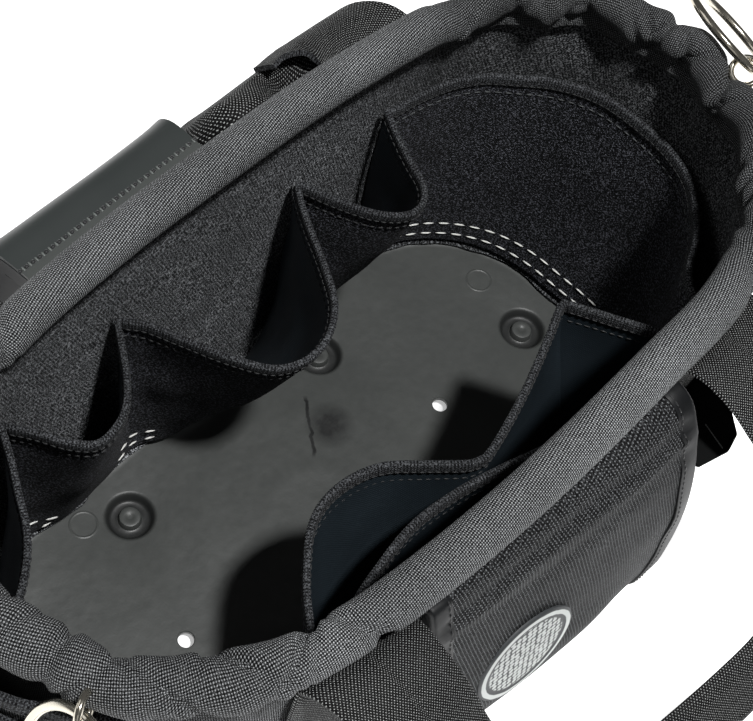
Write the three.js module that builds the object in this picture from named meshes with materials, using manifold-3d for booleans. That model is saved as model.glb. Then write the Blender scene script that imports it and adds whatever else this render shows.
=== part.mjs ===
import * as THREE from "three";
import { mergeVertices } from "three/addons/utils/BufferGeometryUtils.js";
import Module from "manifold-3d";

// Open-mouth tool bag on a moulded tray. Millimetres, +X to the far ring, +Y to the back, +Z up.
const wasm = await Module();
wasm.setup();

// Moulded tray
const floorTop = 8;
const floorUnder = 5;
const trayHalfLength = 193;
const trayHalfWidth = 95;
const trayCorner = 76;
const trayWall = 2.5;
const trayTop = 38;
const trayFillet = 7;
const footRadius = 13.5;
const recessRadius = 11.4;
const buttonRadius = 5.7;
const holeRadius = 3.9;
const feet = [
  { x: -160, y: 0 },
  { x: 160, y: 0 },
  { x: -67.5, y: 64 },
  { x: 67.5, y: 64 },
  { x: -67.5, y: -64 },
  { x: 67.5, y: -64 },
];
const drainHoles = [
  { x: -92, y: 0 },
  { x: 92, y: 0 },
];

// Cloth
const gap = 0.3;
const wallThick = 2;
const panelThick = 1.8;
const tapeThick = 1;
const tapeDepth = 6.5;
const belly = 2.5;
const wallTop = 186.2;

// Rim casing: tube centre height, radius, cloth thickness and the tail that meets the wall
const rimZ = 203;
const rimRadius = 9.3;
const rimThick = 1.5;
const tailBottom = 186.8;
const tailHalf = 2.6;
const slitHalf = 1.1;

// Plan of the rim, counter-clockwise from the middle of the far end
const rimPlan = [
  { x: 200, y: 0 },
  { x: 200, y: 16 },
  { x: 196, y: 34 },
  { x: 185, y: 52 },
  { x: 166, y: 68 },
  { x: 140, y: 79 },
  { x: 105, y: 85 },
  { x: 60, y: 89.5 },
  { x: 0, y: 91.5 },
  { x: -50, y: 92 },
  { x: -110, y: 88 },
  { x: -142, y: 80 },
  { x: -168, y: 62 },
  { x: -184, y: 40 },
  { x: -190, y: 20 },
  { x: -189, y: 2 },
  { x: -186, y: -14 },
  { x: -180.5, y: -30 },
  { x: -170, y: -46 },
  { x: -153, y: -62 },
  { x: -133, y: -72.5 },
  { x: -105, y: -81 },
  { x: -76, y: -85.5 },
  { x: -30, y: -89.5 },
  { x: 10, y: -91 },
  { x: 60, y: -91 },
  { x: 107, y: -90 },
  { x: 140, y: -82 },
  { x: 166, y: -68 },
  { x: 184, y: -50 },
  { x: 194, y: -34 },
  { x: 198.5, y: -18 },
];
const endFrom = 98;
const nearSwell = 0.2;

// Gathers of the soft ends: distance along the rim from the end's middle, width, lift and push outwards
const farGathers = [
  { at: 112, width: 9, lift: -2.5, push: -1.5 },
  { at: 88, width: 8, lift: 2.5, push: 2 },
  { at: 66, width: 7, lift: -3.5, push: -3 },
  { at: 44, width: 9, lift: 2, push: 2 },
  { at: 22, width: 7, lift: -2, push: -1 },
  { at: -4, width: 9, lift: 1.5, push: 1.5 },
  { at: -28, width: 8, lift: -3, push: -2.5 },
  { at: -52, width: 9, lift: 2, push: 1.5 },
  { at: -80, width: 9, lift: -2.5, push: -2 },
  { at: -104, width: 8, lift: 1.5, push: 1 },
];
const nearGathers = [
  { at: 108, width: 9, lift: 2, push: 1.5 },
  { at: 82, width: 8, lift: -3, push: -2 },
  { at: 56, width: 9, lift: 2, push: 2.5 },
  { at: 32, width: 8, lift: -2.5, push: -2 },
  { at: 8, width: 9, lift: 2, push: 2 },
  { at: -18, width: 7, lift: -3, push: -2 },
  { at: -44, width: 9, lift: 2.5, push: 1.5 },
  { at: -70, width: 8, lift: -2.5, push: -2.5 },
  { at: -96, width: 9, lift: 2, push: 1.5 },
];

// Inner pockets: station along X, distance from the wall at the top edge and at the foot, rise of the edge
const stripTop = 146;
const stripFoot = 16;
const backStrip = [
  { x: 105.5, top: 3, foot: 2.2, rise: 12 },
  { x: 103, top: 16, foot: 3, rise: 6 },
  { x: 100, top: 28, foot: 4, rise: 3 },
  { x: 97, top: 40.5, foot: 5, rise: 1 },
  { x: 91, top: 46.5, foot: 6 },
  { x: 82, top: 47.5, foot: 6 },
  { x: 72, top: 40, foot: 5 },
  { x: 63, top: 25, foot: 4 },
  { x: 54, top: 3, foot: 2.2 },
  { x: 49, top: 10, foot: 3 },
  { x: 42, top: 22, foot: 4 },
  { x: 31, top: 43, foot: 6 },
  { x: 20, top: 60, foot: 8 },
  { x: 6, top: 69, foot: 10 },
  { x: -8, top: 70.5, foot: 12 },
  { x: -21, top: 65, foot: 12 },
  { x: -32, top: 49, foot: 11 },
  { x: -41, top: 28, foot: 8 },
  { x: -48, top: 12, foot: 4 },
  { x: -55, top: 3, foot: 2.2 },
  { x: -62, top: 13, foot: 3 },
  { x: -72, top: 26, foot: 5 },
  { x: -82, top: 35, foot: 6 },
  { x: -92, top: 38.5, foot: 7 },
  { x: -102, top: 38, foot: 7 },
  { x: -109, top: 30, foot: 5 },
  { x: -115, top: 16, foot: 3 },
  { x: -121, top: 3, foot: 2.2 },
];
// Last pocket, round the near corner: top edge and foot in plan
const nearCorner = [
  { x: -129, y: 72, footX: -131, footY: 82 },
  { x: -137, y: 58, footX: -146, footY: 76 },
  { x: -145, y: 44, footX: -158, footY: 66 },
  { x: -155, y: 33, footX: -168, footY: 53 },
  { x: -167, y: 24, footX: -176, footY: 38 },
  { x: -179.5, y: 16, footX: -183.5, footY: 20 },
];
const frontBacking = [
  { x: -100, top: 3, foot: 2.2 },
  { x: -88, top: 13, foot: 3 },
  { x: -76, top: 22, foot: 4 },
  { x: -56, top: 28, foot: 5 },
  { x: -34, top: 31.5, foot: 6 },
  { x: -13, top: 30, foot: 6 },
  { x: 6, top: 26, foot: 5 },
  { x: 26, top: 20, foot: 4 },
  { x: 46, top: 13, foot: 3 },
  { x: 62, top: 7, foot: 2.5 },
  { x: 74, top: 3, foot: 2.2 },
];
const frontStrip = [
  { x: -110, top: 3, foot: 2.2 },
  { x: -104, top: 12, foot: 5 },
  { x: -95, top: 25, foot: 8 },
  { x: -86, top: 38, foot: 10 },
  { x: -77, top: 48, foot: 12 },
  { x: -67, top: 57, foot: 13 },
  { x: -55, top: 62, foot: 13 },
  { x: -40, top: 62.5, foot: 13 },
  { x: -25, top: 58, foot: 12 },
  { x: -8, top: 45, foot: 11 },
  { x: 5, top: 34, foot: 10 },
  { x: 11, top: 32, foot: 10 },
  { x: 18, top: 33, foot: 10 },
  { x: 47, top: 40.5, foot: 11 },
  { x: 82, top: 53, foot: 12 },
  { x: 92, top: 56.5, foot: 12 },
  { x: 97, top: 57, foot: 11 },
  { x: 102, top: 49, foot: 9 },
  { x: 108, top: 37, foot: 7 },
  { x: 115, top: 20, foot: 4 },
  { x: 120, top: 9, foot: 3 },
  { x: 124, top: 3, foot: 2.2 },
];
const panelTop = 154;
const endPanel = [
  { along: 141, top: 3, foot: 2.2 },
  { along: 122, top: 3, foot: 2.4 },
  { along: 104, top: 3, foot: 2.6 },
  { along: 87, top: 4, foot: 3 },
  { along: 68, top: 6.4, foot: 3 },
  { along: 46, top: 5.6, foot: 3 },
  { along: 23, top: 3.8, foot: 3 },
  { along: 0, top: 3.4, foot: 3 },
  { along: -19, top: 4.4, foot: 3 },
  { along: -38, top: 6.8, foot: 3 },
  { along: -57, top: 10.4, foot: 3.5 },
  { along: -76, top: 13.4, foot: 4 },
  { along: -94, top: 16, foot: 4 },
  { along: -106, top: 14, foot: 4 },
  { along: -114, top: 8.5, foot: 3 },
  { along: -121, top: 3, foot: 2.2 },
];

// Outer pockets: distance from the wall at each height, and at the near side where it is less
const frontPocketFrom = -73;
const frontPocketTo = 70.5;
const frontPocket = [
  { out: 1.4, near: 1.4, z: 183 },
  { out: 8, near: 6.5, z: 187 },
  { out: 15, near: 8.5, z: 183.5 },
  { out: 21, near: 11, z: 174 },
  { out: 27, near: 14.4, z: 157 },
  { out: 32.5, near: 18.4, z: 136 },
  { out: 37, near: 22.7, z: 110 },
  { out: 39.5, near: 26, z: 88 },
  { out: 37.5, near: 23, z: 66 },
  { out: 27, near: 15, z: 52 },
  { out: 10, near: 7, z: 45 },
  { out: 1.4, near: 1.4, z: 42 },
];
const vinylFrom = -85;
const vinylTo = 10;
const vinylPocket = [
  { out: 1.4, z: 184 },
  { out: 10, z: 188.5 },
  { out: 23, z: 189.5 },
  { out: 34, z: 188 },
  { out: 40, z: 182.5 },
  { out: 43, z: 171 },
  { out: 44, z: 140 },
  { out: 43, z: 100 },
  { out: 37, z: 66 },
  { out: 22, z: 50 },
  { out: 9, z: 45 },
  { out: 1.4, z: 42 },
];
// Share by which each pocket's middle stands further out than its sides
const frontCrown = 0.06;
const vinylCrown = -0.06;
const badgeX = -27;
const badgeZ = 114;
const badgeRadius = 25;
const badgeThick = 1.2;
const nearPocket = [
  { along: 74, top: 1.4 },
  { along: 56, top: 9 },
  { along: 36, top: 14 },
  { along: 14, top: 15 },
  { along: -8, top: 12 },
  { along: -28, top: 7 },
  { along: -44, top: 1.4 },
];
const nearPocketTop = 180;

// Webbing loops, laid flat: leg centres, reach to the grip and widths
const webbingWidth = 50;
const webbingThick = 2.6;
const gripWidth = 25;
const gripThick = 5.2;
const sewnLength = 68;
const frontLegs = {
  left: { x: -103, corner: 62, reach: 131, foldFrom: 5.5, foldTo: 9.5 },
  right: { x: 103, corner: 62, reach: 131, foldFrom: 5.5, foldTo: 9.5 },
};
// Back loop: place along the bag, distance along the loop from its root, and how far it is folded
const backPath = [
  { x: -125, d: -sewnLength, fold: 0 },
  { x: -125, d: -20, fold: 0 },
  { x: -125, d: 0, fold: 0 },
  { x: -125, d: 4, fold: 0 },
  { x: -125, d: 8, fold: 0 },
  { x: -125, d: 30, fold: 0 },
  { x: -124, d: 48, fold: 0 },
  { x: -118, d: 66, fold: 0.1 },
  { x: -106, d: 80, fold: 0.25 },
  { x: -90, d: 87, fold: 0.5 },
  { x: -72, d: 88, fold: 0.8 },
  { x: -50, d: 84, fold: 1 },
  { x: -25, d: 74, fold: 1 },
  { x: -4, d: 62, fold: 0.8 },
  { x: 12, d: 52, fold: 0.5 },
  { x: 26, d: 44, fold: 0.2 },
  { x: 40, d: 38, fold: 0 },
  { x: 56, d: 35.5, fold: 0 },
  { x: 70, d: 34.5, fold: 0 },
  { x: 82, d: 33, fold: 0 },
  { x: 92, d: 28, fold: 0 },
  { x: 100, d: 20, fold: 0 },
  { x: 105, d: 10, fold: 0 },
  { x: 107, d: 0, fold: 0 },
  { x: 107, d: -20, fold: 0 },
  { x: 107, d: -sewnLength, fold: 0 },
];
// Fall of each leg: distance along it, distance out from the long side and height
const frontLeftFall = [
  { d: 0, out: 4, z: 182 },
  { d: 10, out: 10.5, z: 188.5 },
  { d: 24, out: 22, z: 186.5 },
  { d: 40, out: 33, z: 177 },
  { d: 65, out: 45, z: 155 },
  { d: 90, out: 60, z: 135 },
  { d: 165, out: 113, z: 82 },
];
const frontRightFall = [
  { d: 0, out: 4, z: 182 },
  { d: 10, out: 10.5, z: 188.5 },
  { d: 24, out: 24, z: 188 },
  { d: 40, out: 38, z: 181 },
  { d: 65, out: 57, z: 166 },
  { d: 90, out: 75, z: 148 },
  { d: 165, out: 124, z: 92 },
];
const backLeftFall = [
  { d: 0, out: 4, z: 182 },
  { d: 10, out: 10.5, z: 188.5 },
  { d: 24, out: 21, z: 187 },
  { d: 38, out: 33, z: 178 },
  { d: 52, out: 48, z: 152 },
  { d: 66, out: 53, z: 134 },
  { d: 80, out: 55.5, z: 120 },
  { d: 100, out: 59, z: 100 },
  { d: 150, out: 66, z: 58 },
];
const backMiddleFall = [
  { d: 0, out: 51, z: 149 },
  { d: 10, out: 52.5, z: 144 },
  { d: 35, out: 54.5, z: 128 },
  { d: 60, out: 57, z: 107 },
  { d: 90, out: 59, z: 84 },
  { d: 150, out: 64, z: 40 },
];
const backRightFall = [
  { d: 0, out: 4, z: 182 },
  { d: 10, out: 10.5, z: 189.5 },
  { d: 22, out: 20, z: 192.5 },
  { d: 33, out: 29, z: 186.5 },
  { d: 42, out: 33.5, z: 177.5 },
  { d: 52, out: 39, z: 168.5 },
  { d: 64.5, out: 46, z: 158.5 },
  { d: 76, out: 52.5, z: 149.5 },
  { d: 95, out: 64, z: 135 },
];

// Rings: centre-line radius and wire radius
const smallRing = { radius: 6.3, wire: 1.45 };
const largeRing = { radius: 27, wire: 2 };
const ringHole = 0.4;

const bag = new THREE.Group();
bag.name = "tool_bag";

function addPiece(name, geometry, color, roughness, metalness = 0) {
  const material = new THREE.MeshStandardMaterial({ color, roughness, metalness });
  const mesh = new THREE.Mesh(geometry, material);
  mesh.name = name;
  bag.add(mesh);
}

function solidOf(geometry) {
  const bare = new THREE.BufferGeometry();
  bare.setAttribute("position", geometry.getAttribute("position"));
  bare.setIndex(geometry.index);
  const merged = mergeVertices(bare, 1e-4);
  const mesh = new wasm.Mesh({
    numProp: 3,
    vertProperties: new Float32Array(merged.attributes.position.array),
    triVerts: new Uint32Array(merged.index.array),
  });
  return new wasm.Manifold(mesh);
}

function geometryOf(solid) {
  const mesh = solid.getMesh();
  const points = new Float32Array(mesh.numVert * 3);
  for (let i = 0; i < mesh.numVert; i++) {
    const from = i * mesh.numProp;
    points.set(mesh.vertProperties.subarray(from, from + 3), i * 3);
  }
  const geometry = new THREE.BufferGeometry();
  geometry.setAttribute("position", new THREE.BufferAttribute(points, 3));
  geometry.setIndex(new THREE.BufferAttribute(new Uint32Array(mesh.triVerts), 1));
  return geometry;
}

function indexed(points, faces) {
  const geometry = new THREE.BufferGeometry();
  const flat = points.flatMap((p) => [p.x, p.y, p.z]);
  geometry.setAttribute("position", new THREE.Float32BufferAttribute(flat, 3));
  geometry.setIndex(faces);
  return geometry;
}

function quad(faces, a, b, c, d) {
  faces.push(a, b, c, a, c, d);
}

function smooth(value, from, to) {
  const u = Math.min(1, Math.max(0, (value - from) / (to - from)));
  return u * u * (3 - 2 * u);
}

// Value of a named column of a table, linear between its rows
function column(rows, key, at, name) {
  const up = rows[rows.length - 1][key] > rows[0][key];
  const list = up ? rows : [...rows].reverse();
  if (at <= list[0][key]) return list[0][name];
  for (let i = 1; i < list.length; i++) {
    const a = list[i - 1];
    const b = list[i];
    if (at <= b[key]) return a[name] + ((b[name] - a[name]) * (at - a[key])) / (b[key] - a[key]);
  }
  return list[list.length - 1][name];
}

// Cloth solid from a grid of points; thickness may change from column to column
function sheet(grid, thick, ring = false) {
  const rows = grid.length;
  const cols = grid[0].length;
  const clampRow = (i) => Math.min(rows - 1, Math.max(0, i));
  const pickCol = (j) => (ring ? (j + cols) % cols : Math.min(cols - 1, Math.max(0, j)));
  const at = (i, j) => grid[clampRow(i)][pickCol(j)];
  const points = [];
  for (const side of [0.5, -0.5]) {
    for (let i = 0; i < rows; i++) {
      for (let j = 0; j < cols; j++) {
        const along = at(i, j + 1).clone().sub(at(i, j - 1));
        const up = at(i + 1, j).clone().sub(at(i - 1, j));
        const normal = along.cross(up).normalize();
        const depth = typeof thick === "function" ? thick(j) : thick;
        points.push(at(i, j).clone().addScaledVector(normal, side * depth));
      }
    }
  }
  const id = (s, i, j) => s * rows * cols + i * cols + pickCol(j);
  const faces = [];
  const spans = ring ? cols : cols - 1;
  for (let j = 0; j < spans; j++) {
    for (let i = 0; i < rows - 1; i++) {
      quad(faces, id(0, i, j), id(0, i, j + 1), id(0, i + 1, j + 1), id(0, i + 1, j));
      quad(faces, id(1, i, j), id(1, i + 1, j), id(1, i + 1, j + 1), id(1, i, j + 1));
    }
    quad(faces, id(0, 0, j + 1), id(0, 0, j), id(1, 0, j), id(1, 0, j + 1));
    const top = rows - 1;
    quad(faces, id(0, top, j), id(0, top, j + 1), id(1, top, j + 1), id(1, top, j));
  }
  if (!ring) {
    const end = cols - 1;
    for (let i = 0; i < rows - 1; i++) {
      quad(faces, id(0, i, 0), id(0, i + 1, 0), id(1, i + 1, 0), id(1, i, 0));
      quad(faces, id(0, i + 1, end), id(0, i, end), id(1, i, end), id(1, i + 1, end));
    }
  }
  return indexed(points, faces);
}

// Solid swept from closed sections of equal length; open sweeps get flat ends
function sweep(sections, closed) {
  const count = sections[0].length;
  const points = sections.flat();
  const faces = [];
  const spans = closed ? sections.length : sections.length - 1;
  for (let k = 0; k < spans; k++) {
    const next = ((k + 1) % sections.length) * count;
    for (let i = 0; i < count; i++) {
      const j = (i + 1) % count;
      quad(faces, k * count + i, k * count + j, next + j, next + i);
    }
  }
  return { points, faces };
}

// Rim curve sampled densely, with its length from the middle of the far end
const rimCurve = new THREE.CatmullRomCurve3(
  rimPlan.map((p) => new THREE.Vector3(p.x, p.y, 0)),
  true,
  "centripetal",
);
const rimSamples = rimCurve.getPoints(960);
const rimLengths = [0];
for (let i = 1; i < rimSamples.length; i++) {
  rimLengths.push(rimLengths[i - 1] + rimSamples[i].distanceTo(rimSamples[i - 1]));
}
const rimLength = rimLengths[960];

function rimAt(s) {
  const d = ((s % rimLength) + rimLength) % rimLength;
  let low = 0;
  let high = 960;
  while (high - low > 1) {
    const mid = (low + high) >> 1;
    if (rimLengths[mid] <= d) low = mid;
    else high = mid;
  }
  const u = (d - rimLengths[low]) / (rimLengths[high] - rimLengths[low]);
  return rimSamples[low].clone().lerp(rimSamples[high], u);
}

function lengthAtX(x, side) {
  let best = 0;
  let nearest = Infinity;
  for (let i = 0; i < 960; i++) {
    const p = rimSamples[i];
    if (p.y * side > 0 && Math.abs(p.x - x) < nearest) {
      nearest = Math.abs(p.x - x);
      best = rimLengths[i];
    }
  }
  return best;
}

function nearMiddle() {
  let best = 0;
  for (let i = 1; i < 960; i++) {
    if (Math.abs(rimSamples[i].y) < 1.2 && rimSamples[i].x < 0) best = rimLengths[i];
  }
  return best;
}
const nearS = nearMiddle();

// Lift and push of the gathers at a place on the rim
function gatherAt(s, key) {
  const far = s > rimLength / 2 ? s - rimLength : s;
  let sum = 0;
  for (const g of farGathers) sum += g[key] * Math.exp(-(((far - g.at) / g.width) ** 2));
  for (const g of nearGathers) sum += g[key] * Math.exp(-(((nearS - s - g.at) / g.width) ** 2));
  return sum;
}

// Rounded rectangle point in the direction of an angle
function trayPoint(angle, inset) {
  const a = trayHalfLength - inset;
  const b = trayHalfWidth - inset;
  const r = trayCorner - inset;
  const c = Math.abs(Math.cos(angle));
  const s = Math.abs(Math.sin(angle));
  let d = Math.min(a / Math.max(c, 1e-9), b / Math.max(s, 1e-9));
  const cx = a - r;
  const cy = b - r;
  if (d * c > cx && d * s > cy) {
    const along = cx * c + cy * s;
    d = along + Math.sqrt(along * along - cx * cx - cy * cy + r * r);
  }
  return new THREE.Vector2(d * Math.cos(angle), d * Math.sin(angle));
}

// Middle surface of the cloth wall at a place on the rim and a height
const clothInset = trayWall + gap + wallThick / 2;
function wallPoint(s, z) {
  const m = rimAt(s);
  const before = rimAt(s - 2);
  const after = rimAt(s + 2);
  const out = new THREE.Vector2(after.y - before.y, before.x - after.x).normalize();
  const angle = Math.atan2(m.y, m.x);
  const turn = 1.7 * (1 - smooth(z, 11, 16));
  const low = trayPoint(angle, clothInset + turn);
  const f = Math.min(1, Math.max(0, (z - trayTop) / (tailBottom - trayTop)));
  const push = gatherAt(s, "push") * smooth(z, 158, wallTop) + belly * Math.sin(Math.PI * f);
  const x = low.x + (m.x - low.x) * f + out.x * push;
  const y = low.y + (m.y - low.y) * f + out.y * push;
  return new THREE.Vector3(x, y, z);
}

// Point at a distance from the wall's inner face (positive inwards) or outer face (negative)
function offWall(s, z, distance) {
  const before = wallPoint(s - 3, z);
  const after = wallPoint(s + 3, z);
  const inward = new THREE.Vector3(before.y - after.y, after.x - before.x, 0).normalize();
  const shift = distance + (Math.sign(distance) * wallThick) / 2;
  return wallPoint(s, z).addScaledVector(inward, shift);
}

// Stations round the rim, closer together at the soft ends
function stations(sideStep, endStep) {
  const list = [];
  let s = 0;
  while (s < rimLength - endStep * 0.6) {
    list.push(s);
    s += Math.abs(rimAt(s).x) > endFrom ? endStep : sideStep;
  }
  return list;
}

// Tray: dish, feet, recesses round a button, drain holes
const wallStations = stations(36, 12);
const trayStops = wallStations.map((s) => {
  const p = rimAt(s);
  return Math.atan2(p.y, p.x);
});
const trayProfile = [
  { inset: 9, z: floorUnder },
  { inset: 2.6, z: floorUnder + 2.4 },
  { inset: 0, z: floorUnder + 9 },
  { inset: 0, z: trayTop },
  { inset: trayWall, z: trayTop },
  { inset: trayWall, z: floorTop + trayFillet },
  { inset: trayWall + 2, z: floorTop + 2 },
  { inset: trayWall + trayFillet, z: floorTop },
];
const traySections = trayProfile.map((row) =>
  trayStops.map((angle) => {
    const p = trayPoint(angle, row.inset);
    return new THREE.Vector3(p.x, p.y, row.z);
  }),
);
const trayMesh = sweep(traySections, false);
const trayCount = trayStops.length;
const under = trayMesh.points.push(new THREE.Vector3(0, 0, floorUnder)) - 1;
const above = trayMesh.points.push(new THREE.Vector3(0, 0, floorTop)) - 1;
const innerStart = (trayProfile.length - 1) * trayCount;
for (let i = 0; i < trayCount; i++) {
  const j = (i + 1) % trayCount;
  trayMesh.faces.push(under, j, i);
  trayMesh.faces.push(above, innerStart + i, innerStart + j);
}

function upright(radiusLow, radiusHigh, from, to, x, y, sides) {
  const tube = new THREE.CylinderGeometry(radiusHigh, radiusLow, to - from, sides);
  tube.rotateX(Math.PI / 2);
  tube.translate(x, y, (from + to) / 2);
  return solidOf(tube);
}

let traySolid = solidOf(indexed(trayMesh.points, trayMesh.faces));
for (const foot of feet) {
  const boss = upright(footRadius - 1.5, footRadius, 0, floorUnder + 1, foot.x, foot.y, 12);
  const recess = upright(recessRadius - 1.2, recessRadius, 3, floorTop + 1, foot.x, foot.y, 12);
  const button = upright(buttonRadius, buttonRadius - 0.4, 2, floorTop - 1, foot.x, foot.y, 8);
  traySolid = traySolid.add(boss).subtract(recess.subtract(button));
}
for (const hole of drainHoles) {
  traySolid = traySolid.subtract(upright(holeRadius, holeRadius, 0, 12, hole.x, hole.y, 12));
}
addPiece("base_tray", geometryOf(traySolid), 0x4a4c4a, 0.5);

// Cloth wall
const wallHeights = [12, 16.5, 38, 90, 144, 168, wallTop];
const wallGrid = wallHeights.map((z, row) =>
  wallStations.map((s, k) => {
    const wave = row === 0 ? 0.7 * Math.sin(k * 1.9) : 0;
    return wallPoint(s, z + wave);
  }),
);
addPiece("bag_wall", sheet(wallGrid, wallThick, true), 0x24262a, 0.9);

// Rim casing
const outerArc = 8;
const innerArc = 5;
function casingSection(s) {
  const m = rimAt(s);
  const before = rimAt(s - 3);
  const after = rimAt(s + 3);
  const out = new THREE.Vector2(after.y - before.y, before.x - after.x).normalize();
  const lift = gatherAt(s, "lift");
  const push = gatherAt(s, "push");
  const tail = push + belly * Math.sin(Math.PI * 0.995);
  const place = (n, z) => new THREE.Vector3(m.x + out.x * n, m.y + out.y * n, z);
  const swell = 1 + nearSwell * (1 - smooth(Math.abs(nearS - s + 25), 40, 105));
  const radius = rimRadius * swell;
  const section = [place(tail + tailHalf, tailBottom)];
  const startOut = Math.asin(tailHalf / radius);
  for (let i = 0; i < outerArc; i++) {
    const a = startOut + ((Math.PI * 2 - 2 * startOut) * i) / (outerArc - 1);
    const n = push + radius * Math.sin(a);
    section.push(place(n, rimZ + lift - radius * Math.cos(a)));
  }
  section.push(place(tail - tailHalf, tailBottom));
  section.push(place(tail - slitHalf, tailBottom));
  const inner = radius - rimThick;
  const startIn = Math.asin(slitHalf / inner);
  for (let i = innerArc - 1; i >= 0; i--) {
    const a = startIn + ((Math.PI * 2 - 2 * startIn) * i) / (innerArc - 1);
    const n = push + inner * Math.sin(a);
    section.push(place(n, rimZ + lift - inner * Math.cos(a)));
  }
  section.push(place(tail + slitHalf, tailBottom));
  return section.reverse();
}
const casingMesh = sweep(stations(36, 7.6).map(casingSection), true);
let casing = solidOf(indexed(casingMesh.points, casingMesh.faces));

// Rings through the casing at both ends
function ringAt(ring, centre, axis, around, sides, extra = 0) {
  const torus = new THREE.TorusGeometry(ring.radius, ring.wire + extra, sides, around);
  const turn = new THREE.Quaternion();
  turn.setFromUnitVectors(new THREE.Vector3(0, 0, 1), axis.clone().normalize());
  torus.applyQuaternion(turn);
  torus.translate(centre.x, centre.y, centre.z);
  return torus;
}
const rings = [
  {
    side: "far",
    small: new THREE.Vector3(205.5, -28.5, 208),
    axis: new THREE.Vector3(-0.45, -0.05, 0.89),
    slack: 2.35,
    free: new THREE.Vector3(0.82, -0.09, 0.56),
    hang: new THREE.Vector3(0.65, 0.7, -0.31),
    along: new THREE.Vector3(-0.45, 0.68, 0.58),
  },
  {
    side: "near",
    small: new THREE.Vector3(-190.6, -38.8, 207),
    axis: new THREE.Vector3(0.45, -0.85, 0.15),
    slack: 1.8,
    free: new THREE.Vector3(-0.75, -0.4, -0.5),
    hang: new THREE.Vector3(-0.5, -0.37, -0.78),
    along: new THREE.Vector3(-0.05, -0.95, 0.3),
  },
];
// The large ring hangs from a point in the small ring's hole, off to the free side
function hungRing(r) {
  const hang = r.hang.clone().normalize();
  const start = r.small.clone().addScaledVector(r.free, r.slack);
  const along = r.along.clone().addScaledVector(hang, -r.along.dot(hang)).normalize();
  const centre = start.addScaledVector(hang, largeRing.radius);
  return { centre, axis: hang.clone().cross(along) };
}
for (const r of rings) {
  const clear = ringAt(smallRing, r.small, r.axis, 16, 7, ringHole);
  casing = casing.subtract(solidOf(clear));
}
addPiece("rim_casing", geometryOf(casing), 0x2c2e31, 0.85);
for (const r of rings) {
  const hung = hungRing(r);
  const small = ringAt(smallRing, r.small, r.axis, 16, 6);
  const large = ringAt(largeRing, hung.centre, hung.axis, 26, 6);
  addPiece("small_ring_" + r.side, small, 0x9a958a, 0.25, 1);
  addPiece("large_ring_" + r.side, large, 0x9a958a, 0.25, 1);
}

// Inner pocket sheets and the tape over their top edges
function ruled(stops, rows, ease) {
  const grid = [];
  for (let i = 0; i < rows; i++) {
    const u = i / (rows - 1);
    const swell = 1 - (1 - u) ** ease;
    grid.push(
      stops.map((stop) => {
        const p = stop.foot.clone().lerp(stop.top, swell);
        p.z = stop.foot.z + (stop.top.z - stop.foot.z) * u;
        return p;
      }),
    );
  }
  return grid;
}

function tapeOver(grid, thick) {
  const top = grid[grid.length - 1];
  const next = grid[grid.length - 2];
  const inner = thick / 2 + gap + 0.15;
  const outer = inner + tapeThick;
  const sections = top.map((p, j) => {
    const along = top[Math.min(j + 1, top.length - 1)].clone().sub(top[Math.max(j - 1, 0)]);
    const down = next[j].clone().sub(p).normalize();
    const normal = along.clone().cross(down).normalize();
    const place = (n, d) => p.clone().addScaledVector(normal, n).addScaledVector(down, d);
    return [
      place(-outer, tapeDepth),
      place(-outer, -gap - tapeThick),
      place(outer, -gap - tapeThick),
      place(outer, tapeDepth),
      place(inner, tapeDepth),
      place(inner, -gap),
      place(-inner, -gap),
      place(-inner, tapeDepth),
    ];
  });
  const mesh = sweep(sections, false);
  const last = (sections.length - 1) * 8;
  const cap = [
    [0, 1, 6],
    [0, 6, 7],
    [1, 2, 5],
    [1, 5, 6],
    [2, 3, 4],
    [2, 4, 5],
  ];
  for (const [a, b, c] of cap) {
    mesh.faces.push(c, b, a);
    mesh.faces.push(last + a, last + b, last + c);
  }
  return indexed(mesh.points, mesh.faces);
}

function facingOut(geometry) {
  const solid = solidOf(geometry);
  if (solid.volume() > 0) return geometry;
  const index = geometry.index.array;
  for (let i = 0; i < index.length; i += 3) {
    const keep = index[i];
    index[i] = index[i + 1];
    index[i + 1] = keep;
  }
  return geometry;
}

function pocketStops(rows, side, topZ) {
  return rows.map((row) => {
    const s = lengthAtX(row.x, side);
    const z = topZ + (row.rise || 0);
    return { top: offWall(s, z, row.top), foot: offWall(s, stripFoot, row.foot) };
  });
}

const backStops = pocketStops(backStrip, 1, stripTop);
for (const row of nearCorner) {
  backStops.push({
    top: new THREE.Vector3(row.x, row.y, stripTop),
    foot: new THREE.Vector3(row.footX, row.footY, stripFoot),
  });
}
const endStops = endPanel.map((row) => ({
  top: offWall(row.along, panelTop, row.top),
  foot: offWall(row.along, stripFoot, row.foot),
}));
const innerPockets = [
  { name: "back_pocket_strip", tape: "back_strip_binding", stops: backStops, rows: 4 },
  { name: "end_pocket_panel", tape: "end_panel_binding", stops: endStops, rows: 4 },
  {
    name: "front_backing_panel",
    tape: "front_backing_binding",
    stops: pocketStops(frontBacking, -1, stripTop),
    rows: 4,
  },
  {
    name: "front_pocket_strip",
    tape: "front_strip_binding",
    stops: pocketStops(frontStrip, -1, stripTop),
    rows: 4,
  },
];
for (const pocket of innerPockets) {
  const grid = ruled(pocket.stops, pocket.rows, 1.25);
  addPiece(pocket.name, facingOut(sheet(grid, panelThick)), 0x1c1d20, 0.92);
  addPiece(pocket.tape, facingOut(tapeOver(grid, panelThick)), 0x26282b, 0.85);
}

// Outer pockets with side gussets; across runs from -1 at the near side to 1 at the far side
function reachAt(row, across) {
  const near = row.near ?? row.out;
  return near + ((row.out - near) * (across + 1)) / 2;
}

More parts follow.
